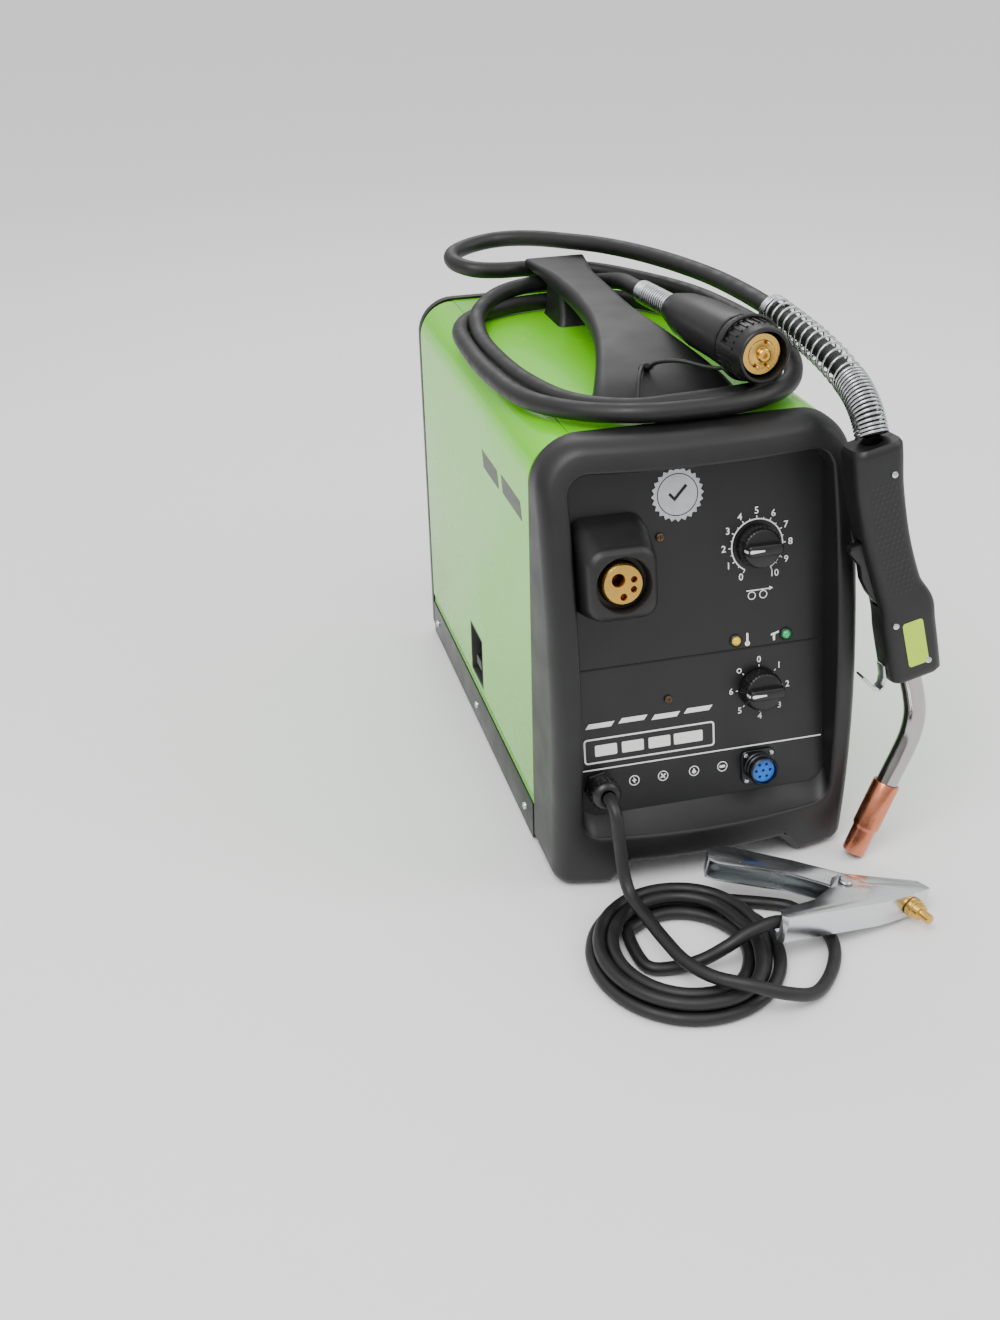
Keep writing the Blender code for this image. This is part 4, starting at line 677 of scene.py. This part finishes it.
def print_on_panel():
    """The panel sheet, all white print on it, its seam and its screws."""
    ink = [moved(disc_ring(20.4, 21.4, -150, 150), panel(DIAL_X, FEED_UP, 0.05))]
    for i in range(11):
        a = -150 + 30 * i
        turn = -math.radians(a)
        ink.append(moved(slab(rounded_rect(0.4, 1.3, 0.2, 2), 0, 0.15),
                         on_circle(DIAL_X, FEED_UP, 22.2, a, 0.05, turn)))
        ink.append(lettering(str(i), 7.6, on_circle(DIAL_X, FEED_UP, 27.4, a)))
        if i < 10:
            ink.append(moved(slab(rounded_rect(0.3, 0.7, 0.2, 2), 0, 0.15),
                             on_circle(DIAL_X, FEED_UP, 21.8, a + 15, 0.05, turn - math.radians(15))))
    ink.append(moved(disc_ring(2.6, 3.3), panel(43.5, 126.5, 0.05)))
    ink.append(moved(disc_ring(2.6, 3.3), panel(53.0, 126.5, 0.05)))
    ink.append(flat(rounded_rect(9.5, 0.45, 0.3, 2), DIAL_X, 130.6))
    ink.append(flat([(5.6, -1.6), (8.8, 0), (5.6, 1.6)], 52.5, 130.9))
    for label, a in (("0", 0), ("1", 45), ("2", 90), ("3", 135), ("4", 180), ("5", 225), ("6", 270)):
        ink.append(lettering(label, 7.2, on_circle(DIAL_X, SELECTOR_UP, 23.8, a)))
    ink.append(moved(disc_ring(1.3, 2.1), on_circle(DIAL_X, SELECTOR_UP, 23.6, 315, 0.05)))
    for a in range(0, 360, 45):
        ink.append(moved(slab(rounded_rect(0.35, 0.9, 0.2, 2), 0, 0.15),
                         on_circle(DIAL_X, SELECTOR_UP, 18.9, a, 0.05, -math.radians(a))))
    # a thermometer and a torch beside their lamps
    ink += [flat(rounded_rect(0.9, 4.2, 0.8, 4), 39.2, 92.6), moved(disc_ring(0.2, 2.1), panel(39.2, 88.2, 0.05)),
            flat([(-3.2, 1.4), (3.4, 3.2), (3.4, 1.6), (0.2, 0.6), (0.2, -4.2), (-1.6, -4.2), (-1.6, 0.2),
                  (-3.2, -0.2)], 62.2, 92.0)]
    ink.append(flat(rounded_rect(101, 0.55, 0.3, 2), 0, 2.0))
    # slanted bars and a rounded plate stand in for the maker's lettering
    for i in range(4):
        ink.append(flat([(-12, -2.0), (9, -2.0), (12, 2.0), (-9, 2.0)], -84 + 27 * i, 38.5 + 1.2 * (i % 2)))
    frame_outer, frame_inner = rounded_rect(54, 10.5, 3, 6), rounded_rect(52.6, 9.1, 2, 6)
    ink.append(flat(frame_outer, -44, 17.5, 0.03, thick=0.1))
    dark = [flat(frame_inner, -44, 17.5, 0.06, thick=0.1)]
    ink += [flat(rounded_rect(w, 4.6, 1.0, 3), -44 + x, 17.5, 0.1) for x, w in ((-36, 9), (-14, 9), (8, 9), (32, 12))]
    # small plain symbols under the line: flash, crossed bars, drop and lead
    for x in (-58, -34, -8, 16):
        ink.append(moved(disc_ring(3.6, 4.3), panel(x, SYMBOL_UP, 0.05)))
    ink += [flat([(-0.6, 3), (2, -0.4), (0.4, -0.4), (0.8, -3), (-2, 0.6), (-0.3, 0.6)], -58, SYMBOL_UP),
            *[flat(rounded_rect(2.6, 0.6, 0.4, 2), -34, SYMBOL_UP, turn=turn) for turn in (0.6, 2.2)],
            flat([(-2, -1.2), (0, 2.6), (2, -1.2), (0, -2.4)], -8, SYMBOL_UP),
            flat(rounded_rect(2.4, 1.1, 0.8, 3), 16, SYMBOL_UP)]
    sheet = slab(rounded_rect(109, 145, 14, 8), -2.3, -0.3, 0.25)
    piece("plate_sheet", moved(sheet, panel(0, 102)), PANEL_COAT, stands_for=["control_plate"])
    piece("panel_print", joined(*ink), INK)
    piece("panel_print_dark", joined(*dark), PANEL_COAT)
    seam = moved(slab([(-104, -0.55), (104, -0.55), (104, 0.55), (-104, 0.55)], 0.02, 0.3), panel(0, SEAM_UP))
    piece("panel_seam", seam, DARK)
    screws = [moved(screw_head(3.3), panel(x, up, -0.2)) for x, up in ((-29.8, 182), (-27.6, 51.8))]
    piece("panel_screws", joined(*screws), SCREW_BRONZE)


def award_seal():
    """A plain silver star seal with a tick: a stand-in with no wording."""
    count = 24
    star = []
    for i in range(count * 2):
        a = math.pi * i / count
        r = 21.0 if i % 2 == 0 else 18.6
        star.append((r * math.cos(a), r * math.sin(a)))
    place = panel(-14.5, 213, 0.05)
    piece("seal_foil", moved(slab(star, 0, 0.25, 0.1), place), FOIL)
    marks = [moved(disc_ring(15.6, 16.3), place @ Matrix.Translation((0, 0, 0.22))),
             moved(slab([(-7.5, 0.5), (-2.5, -5.0), (8.0, 6.0), (6.2, 7.6), (-2.6, -1.6), (-5.9, 2.1)], 0.24, 0.4),
                   place)]
    piece("seal_mark", joined(*marks), DARK)


def side_decal():
    """Two slanted bars on the door, where a name would be."""
    def on_door(points):
        return skin([[(x, y, z) for y, z in points] for x in (-125.02, -125.2)])

    bars = [on_door([(-147 + 74 * i, 286 - 2 * i), (-87 + 66 * i, 286 - 2 * i), (-82 + 66 * i, 300 - 2 * i),
                     (-142 + 74 * i, 300 - 2 * i)]) for i in range(2)]
    piece("side_bars", joined(*bars), GREY_INK, "side_door")


# ---------------------------------------------------------------- carried-over parts
DRESSED = {  # CAD node: (material, slot, eased edge in mm)
    "door_latch_cup": (ABS, "black_abs", 0.6),
    "door_latch_slider": (NYLON, "black_abs", 0.5), "door_hinge_pin": (ZINC, "zinc_steel", 0.2),
    "potentiometer": (ZINC, "zinc_steel", 0.4), "selector_switch": (NYLON, "black_abs", 0.5),
    "centre_partition": (GALVANISED, "zinc_steel", 0.3), "drive_body": (ALLOY, "aluminium", 0.8),
    "drive_motor": (LAMINATION, "laminated_iron", 0.8), "drive_roll": (SPRING, "zinc_steel", 0.3),
    "pressure_arm": (ALLOY, "aluminium", 0.8), "pressure_roll": (SPRING, "zinc_steel", 0.3),
    "tension_knob": (NYLON, "black_abs", 0.5), "spool_axle": (ZINC, "zinc_steel", 0.3),
    "spool_hub": (NYLON, "black_abs", 0.5), "wire_spool": (ABS, "black_abs", 0.4),
    "wire_winding": (ENAMEL_WIRE, "copper", 0.0), "transformer_core": (LAMINATION, "laminated_iron", 0.5),
    "transformer_windings": (ENAMEL_WIRE, "copper", 0.8), "rectifier_heatsink": (ALLOY, "aluminium", 0.3),
    "control_board": (BOARD, "board_green", 0.2), "fan_motor": (LAMINATION, "laminated_iron", 0.5),
    "fan_blade": (NYLON, "black_abs", 0.3), "mains_gland": (NYLON, "black_abs", 0.5),
    "gas_inlet": (BRASS, "brass", 0.3), "clamp_lower": (ZINC, "zinc_steel", 0.25),
    "clamp_upper": (ZINC, "zinc_steel", 0.25), "clamp_pin": (SPRING, "zinc_steel", 0.3),
    "clamp_stud": (BRASS, "brass", 0.3), "torch_trigger": (NYLON, "black_abs", 0.9),
    "torch_hook": (ZINC, "zinc_steel", 0.25), "torch_plug_body": (NYLON, "black_abs", 0.5),
}


def dressed(name, material, edge):
    """A finished copy of a CAD node, with its edges eased."""
    source = frame["nodes"][name]
    obj = bpy.data.objects.new(name + "_finished", source.data.copy())
    bpy.context.scene.collection.objects.link(obj)
    bm = bmesh.new()
    bm.from_mesh(obj.data)
    bmesh.ops.remove_doubles(bm, verts=bm.verts, dist=2e-6)
    bmesh.ops.dissolve_limit(bm, angle_limit=math.radians(0.5), verts=bm.verts, edges=bm.edges)
    bm.to_mesh(obj.data)
    bm.free()
    declare(obj, material, source["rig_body"], [name], edge, 35, 35)


# ---------------------------------------------------------------- leads
PLUG_FACE = Vector((60.0, -164.0, 402.0))
PLUG_AXIS = Vector((-0.085, 0.996, -0.02)).normalized()
TORCH_TOP, TORCH_BOTTOM = Vector((120.0, -227.0, 350.0)), Vector((163.0, -243.0, 160.0))
GRIP_LENGTH = (TORCH_TOP - TORCH_BOTTOM).length


def along_plug(distance):
    return PLUG_FACE + PLUG_AXIS * distance


WORK_ROUTE = [(-87, -252.7, 92.8), (-87, -259, 93), (-86.5, -268, 88), (-86, -273, 74), (-85, -277, 58),
              (-84, -284, 40), (-82, -296, 29), (-78, -322, 27), (-74, -350, 27), (-68, -376, 27), (-55, -398, 27.5), (-34, -413, 27.5),
              (-8, -420, 19.5), (18, -413, 8), (39, -394, 5.6), (54, -369, 5.4), (57, -344, 5.4), (48, -322, 5.4),
              (32, -305, 5.4)]
TURNS = [(0, 6, 5.4), (0.88, 6, 5.4), (1.0, 17, 5.4), (1.75, 17, 5.4), (1.88, 15.5, 15.4), (2.0, 11.5, 14.8),
         (2.62, 11.5, 14.6), (2.8, 22.5, 14.6), (2.88, 25.6, 14.6), (3.0, 21.6, 14.6), (3.6, 21.6, 14.6),
         (3.75, 29, 7), (4.0, 30, 5.6), (4.22, 30.5, 5.6)]  # turns, inward offset, height
TAIL_ROUTE = [(-88, -349, 5.6), (-68, -357, 6), (-48, -361, 12), (-30, -363, 22), (-12, -361, 30), (8, -359.5, 33.6),
              (24, -361, 31.5), (38.5, -357, 29), (58, -351.5, 25.8), (78, -348, 22.5), (98, -344.5, 19.2),
              (106, -342.5, 17.9)]


def coil():
    """The work lead's turns, one after the other, as TURNS gives them."""
    points = []
    for i in range(0, 102):
        turn = 4.22 * i / 101
        for a, b in zip(TURNS, TURNS[1:]):
            if a[0] <= turn <= b[0]:
                t = (turn - a[0]) / (b[0] - a[0])
                t = t * t * (3 - 2 * t)
                offset, height = a[1] + (b[1] - a[1]) * t, a[2] + (b[2] - a[2]) * t
        angle = math.radians(60) + math.tau * turn
        points.append((-55 + (76 - offset) * math.cos(angle), -343 + (79 - offset) * math.sin(angle), height))
    return points


TORCH_ROUTE = [along_plug(230.5), along_plug(250), (40, 112, 394), (40, 140, 388.5), (31, 168, 382), (8, 186, 379.5),
    (-25, 188, 379.5), (-62, 172, 377), (-90, 136, 371), (-101, 86, 366), (-103, 28, 365), (-96, -50, 365),
    (-77, -113, 365.5), (-41, -149.5, 368), (0, -154, 369.5), (42, -150, 369.5), (78, -130, 366), (99, -92, 365),
    (106, -40, 365), (104, 30, 365), (94, 96, 365), (68, 150, 365), (32, 176, 365), (-8, 180, 365), (-52, 172, 365),
    (-92, 146, 365), (-114, 104, 365.3), (-120, 40, 366), (-119, -30, 366), (-108, -98, 366), (-80, -147, 369),
    (-38, -169.5, 370), (6, -173, 370), (52, -168, 370.5), (90, -144, 373), (110, -100, 379), (117, -40, 381),
    (114, 34, 381), (101, 104, 381.5), (74, 160, 382.5), (40, 198, 385), (4, 212, 387), (-28, 211, 389),
    (-54, 201, 392), (-78, 203, 394.5), (-92, 222, 397.5), (-88, 246, 400.5), (-64, 262, 404), (-36, 262, 407), (-8, 243, 409.5),
    (18, 218, 410), (44, 190, 410), (68, 146, 410), (85, 88, 411), (96, 24, 412), (104, -46, 410), (110, -104, 404),
    (115, -156, 395), (118.5, -198, 381), (119.5, -219, 366), (120, -227, 354.5)]


def lead(name, points, diameter, replaced):
    """A round cord along points, in place of the parts it replaces."""
    curve = bpy.data.curves.new(name, "CURVE")
    curve.dimensions, curve.bevel_depth, curve.bevel_resolution = "3D", diameter / 2 * MM, 6
    curve.use_fill_caps = True
    spline = curve.splines.new("POLY")
    spline.points.add(len(points) - 1)
    for target, p in zip(spline.points, points):
        target.co = (p.x * MM, p.y * MM, p.z * MM, 1.0)
    spline.use_smooth = True
    obj = bpy.data.objects.new(name, curve)
    bpy.context.scene.collection.objects.link(obj)
    curve.materials.append(RUBBER)
    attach(obj, "machine")
    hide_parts(*replaced)


def helix(path, radius, wire, turns_at, steps=10, per_turn=18):
    """A wire wound round a path; turns_at gives how many turns lie before each fraction of it."""
    frames = frames_along(path)
    total = turns_at[-1][1]
    points = []
    for i in range(int(total * per_turn) + 1):
        turns = i / per_turn
        for (f0, n0), (f1, n1) in zip(turns_at, turns_at[1:]):
            if n0 <= turns <= n1:
                where = f0 + (f1 - f0) * (turns - n0) / (n1 - n0)
        spot = min(where * (len(frames) - 1), len(frames) - 1.001)
        k, t = int(spot), spot - int(spot)
        p = frames[k][0].lerp(frames[k + 1][0], t)
        u, v = frames[k][1].lerp(frames[k + 1][1], t), frames[k][2].lerp(frames[k + 1][2], t)
        a = math.tau * turns
        points.append(p + u * (radius * math.cos(a)) + v * (radius * math.sin(a)))
    return bar(points, wire, steps)


def leads():
    lead("work_lead", smooth_route(WORK_ROUTE + coil()[2:] + TAIL_ROUTE, 5), 10.0,
         ["work_cable", "work_cable_coil", "work_cable_tail"])
    lead("torch_lead", smooth_route(TORCH_ROUTE, 6), 15.0, ["torch_cable"])


# ---------------------------------------------------------------- torch, plug and clamp
GRIP_SECTIONS = ((0.0, -1.0, 19.0, 13.0), (3.0, -1.0, 21.5, 15.5), (45.0, -2.0, 22.0, 16.5), (62.0, -3.0, 21.5, 16.5),
                 (82.0, 1.5, 18.5, 16.0), (120.0, 4.5, 18.5, 16.0), (160.0, 4.0, 19.5, 16.5),
                 (GRIP_LENGTH - 3.0, 0.5, 20.0, 17.0), (GRIP_LENGTH, 0.0, 18.0, 15.0))
NECK_PATH = [Vector(p) for p in ((0, 0, 28), (0, 0, 0), (-0.5, 0, -22), (1, 0, -38), (7, 0, -54), (17, 0, -69),
                                 (27, 0, -82), (39, 0, -98))]


TORCH_PLACE = frame_from(TORCH_BOTTOM, TORCH_TOP - TORCH_BOTTOM, (-1, 0, 0))  # Z up the grip, X to the trigger side


def torch_grip():
    """The grip's moulding with its bores and seam, and the grip pattern, screws and plain label on it."""
    place = TORCH_PLACE
    heights = [0, 1, 3] + [3 + (GRIP_LENGTH - 6) * i / 48 for i in range(1, 49)] + [GRIP_LENGTH - 1, GRIP_LENGTH]
    rings = []
    for h in heights:
        offset, half, thick = between(GRIP_SECTIONS, h)
        rings.append([(offset + x, y, h) for x, y in rounded_rect(half, thick, thick * 0.55, 8)])
    cuts = [moved(cuboid((7.5, -5, 66), (40, 5, 124)), place), moved(lathe([(9.4, -5), (9.4, 30)], 40), place),
            moved(lathe([(8.0, GRIP_LENGTH - 20), (8.0, GRIP_LENGTH + 5)], 40), place)]
    seam = [moved(cuboid((-40, -0.3, -2), (-14, 0.3, GRIP_LENGTH + 3)), place)]
    piece("grip_moulding", moved(skin(rings), place), ABS, stands_for=["torch_grip"], cuts=cuts + seam, smooth=45)
    diamonds, screws = [], []
    for side in (-1, 1):
        for row in range(22):
            for col in range(5):
                h = 78 + row * 4.2
                offset, half, thick = between(GRIP_SECTIONS, h)
                x = offset + (col - 2) * 4.2 + (2.1 if row % 2 else 0) - 1
                tip = [(x, side * (thick + 0.55), h)]
                base = [(x + 2.0, side * (thick - 0.1), h), (x, side * (thick - 0.1), h + 2.0),
                        (x - 2.0, side * (thick - 0.1), h), (x, side * (thick - 0.1), h - 2.0)]
                diamonds.append((base + tip, [(0, 1, 4), (1, 2, 4), (2, 3, 4), (3, 0, 4), (3, 2, 1, 0)]))
        for h, x in ((14, -10), (52, 12), (172, -6)):
            offset, half, thick = between(GRIP_SECTIONS, h)
            screws.append(moved(screw_head(2.6), frame_from((x, side * (thick - 0.2), h), (0, side, 0), (1, 0, 0))))
    piece("grip_diamonds", moved(joined(*diamonds), place), ABS, smooth=10)
    piece("grip_screws", moved(joined(*screws), place), ZINC)
    tag = moved(slab(rounded_rect(8.5, 19, 2.5, 5), 0, 0.3), frame_from((-2, 16.4, 32), (0, 1, 0), (1, 0, 0)))
    piece("grip_print", moved(tag, place), LABEL)


def swan_neck():
    """The chromed neck and the copper nozzle on its end."""
    place = TORCH_PLACE
    piece("neck_tube", moved(bar(smooth_route(NECK_PATH, 3), 8.8, 40), place), CHROME,
          stands_for=["swan_neck"], smooth=60)
    end, before = NECK_PATH[-1], NECK_PATH[-2]
    direction = (end - before).normalized()
    tip = place @ frame_from(end - direction * 8.2, direction, (0, 1, 0))
    nozzle = [(9.2, 0), (10.6, 0), (11, 0.6), (11, 39), (10.8, 40.5), (9.8, 42.4), (9.6, 43.6), (9.4, 64), (9.0, 65),
              (8.0, 65), (7.6, 64.4), (7.6, 41), (9.2, 9)]
    piece("nozzle_tube", moved(lathe(nozzle, 56, True), tip), COPPER, stands_for=["gas_nozzle"])


def torch_spring():
    """The bend-relief spring: a few close turns, an open stretch, then close turns down to the grip."""
    route = smooth_route(TORCH_ROUTE, 13.5)[-14:]
    path = smooth_route([tuple(p) for p in route], 3)
    piece("torch_spring_wire", helix(path, 11.9, 1.1, [(0, 0), (0.05, 3.5), (0.7, 16), (1, 34)]), SPRING,
          stands_for=["torch_spring"], smooth=60)


def plug():
    """The torch plug: brass face and pins, ribbed nut, lead and spring."""
    place = frame_from(PLUG_FACE, PLUG_AXIS, (0, 0, 1))
    face = [(16, 44), (16, 7), (15.4, 6), (11, 6), (10.6, 5.6), (6.0, 5.6), (5, 5.2), (5, 1.2), (4.2, 0.5), (2.2, 0.5),
            (2.0, 3)]
    pins = [moved(lathe([(1.4, 4), (1.4, 2.0), (0.9, 1.5)], 16), place @ Matrix.Translation((x, y, 0)))
            for x, y in ((-9, 4.5), (-9, -4.5), (8.5, 4.0))]
    piece("plug_contact", joined(moved(lathe(face, 56), place), *pins), BRASS,
          stands_for=["torch_plug_contact"])
    core = [along_plug(46 + (230.2 - 46) * i / 40) for i in range(41)]
    piece("plug_core", bar(core, 7.5, 32, False), RUBBER, smooth=60)
    nut = lathe([(18.3, 0), (20.2, 0), (20.8, 0.6), (21.5, 2.2), (21.5, 8), (22.4, 10.6), (22.6, 12), (22.6, 34),
                 (21.8, 39), (20.8, 40), (18.3, 40)], 72, True)
    ribs = [moved(cuboid((-0.7, -0.9, 11.5), (1.1, 0.9, 34.5)), Matrix.Rotation(math.tau * i / 28, 4, "Z")
                  @ Matrix.Translation((22.4, 0, 0))) for i in range(28)]
    piece("plug_nut", moved(joined(nut, *ribs), place), NYLON, "torch_plug_nut", stands_for=["torch_plug_nut"])
    wire = [along_plug(161 + 64.0 * i / 40) for i in range(41)]
    piece("plug_spring_wire", helix(wire, 9.2, 0.95, [(0, 0), (0.1, 3), (0.8, 14), (1, 19)]), SPRING,
          stands_for=["plug_spring"], smooth=60)


def clamp_sleeve():
    """The sleeve where the work lead enters the clamp."""
    path = [Vector(p) for p in TAIL_ROUTE[-3:]]
    piece("clamp_sleeve", bar(smooth_route([tuple(p) for p in path], 4)[2:-1], 6.1, 28), RUBBER,
          smooth=60)


def ties():
    """A thin black tie through the handle, holding the plug, and its loose end."""
    near = [(-8, -92, 376), (-4, -104, 386), (10, -118, 390), (26, -128, 387), (36, -133, 386)]
    around = [tuple(along_plug(26) + Vector((24.6 * math.cos(a), 0, 24.6 * math.sin(a))))
              for a in [math.radians(215 + 28 * i) for i in range(12)]]
    loose = [(-8, -92, 377), (-16, -105, 384), (-25, -124, 381), (-31, -140, 373), (-34, -148, 366)]
    wires = [bar(smooth_route(near + around, 3), 1.6, 12), bar(smooth_route(loose, 3), 1.6, 12)]
    piece("tie_wire", joined(*wires), RUBBER, smooth=60)


# ---------------------------------------------------------------- light, floor and camera
def studio():
    """A pale floor, soft light from three sides and the camera."""
    ground = finish("pale_paper", "#f4f4f4", "#f6f6f6", rough=(0.8, 0.9))
    floor = bare("floor", ([(-40000, -9000, 0), (40000, -9000, 0), (40000, 60000, 0), (-40000, 60000, 0)],
                           [(0, 1, 2, 3)]))
    floor.data.materials.append(ground)
    world = bpy.data.worlds.new("studio")
    bpy.context.scene.world = world
    world.use_nodes = True
    tree = world.node_tree
    tree.nodes["Background"].inputs["Color"].default_value = (1, 1, 1, 1)
    sky = node(tree, "ShaderNodeSeparateXYZ", {"Vector": (node(tree, "ShaderNodeTexCoord"), "Generated")})
    shade = node(tree, "ShaderNodeMapRange", {"Value": (sky, "Z"), "From Min": 0.0, "From Max": 0.5, "To Min": 0.3,
                                              "To Max": 1.15})
    tree.links.new(shade.outputs["Result"], tree.nodes["Background"].inputs["Strength"])
    for name, place, size, power in (("key", (-0.9, -1.3, 2.2), 1.5, 42), ("fill", (1.6, -0.9, 1.6), 1.3, 12),
                                     ("back", (0.2, 1.6, 1.8), 1.2, 10)):
        lamp = bpy.data.lights.new(name, "AREA")
        lamp.shape, lamp.size, lamp.energy = "DISK", size, power
        obj = bpy.data.objects.new(name, lamp)
        obj.location = place
        obj.rotation_euler = (Vector((0, 0, 0.2)) - Vector(place)).to_track_quat("-Z", "Y").to_euler()
        bpy.context.scene.collection.objects.link(obj)
    azimuth, elevation, roll = math.radians(13.17), math.radians(28.13), math.radians(-1.67)
    forward = Vector((math.sin(azimuth) * math.cos(elevation), math.cos(azimuth) * math.cos(elevation),
                      -math.sin(elevation)))
    right = Vector((math.cos(azimuth), -math.sin(azimuth), 0))
    up = right.cross(forward)
    turned = Matrix((right * math.cos(roll) + up * math.sin(roll), up * math.cos(roll) - right * math.sin(roll),
                     -forward)).transposed()
    lens = bpy.data.cameras.new("camera")
    lens.sensor_width, lens.sensor_fit, lens.lens = 36.0, "AUTO", 40.76
    camera = bpy.data.objects.new("camera", lens)
    camera.matrix_world = Matrix.Translation((-0.3856, -1.1734, 0.7320)) @ turned.to_4x4()
    bpy.context.scene.collection.objects.link(camera)
    bpy.context.scene.camera = camera


front_bezel()
rear_panel()
top_cover()
side_door()
base_rail()
carry_handle()
torch_hood()
gland()
remote_socket()
knob("wire_feed_knob", FEED_UP)
knob("selector_knob", SELECTOR_UP)
lamps()
print_on_panel()
award_seal()
side_decal()
for part, (material, slot, edge) in DRESSED.items():
    dressed(part, material, edge)
torch_grip()
swan_neck()
torch_spring()
plug()
clamp_sleeve()
ties()
leads()
studio()
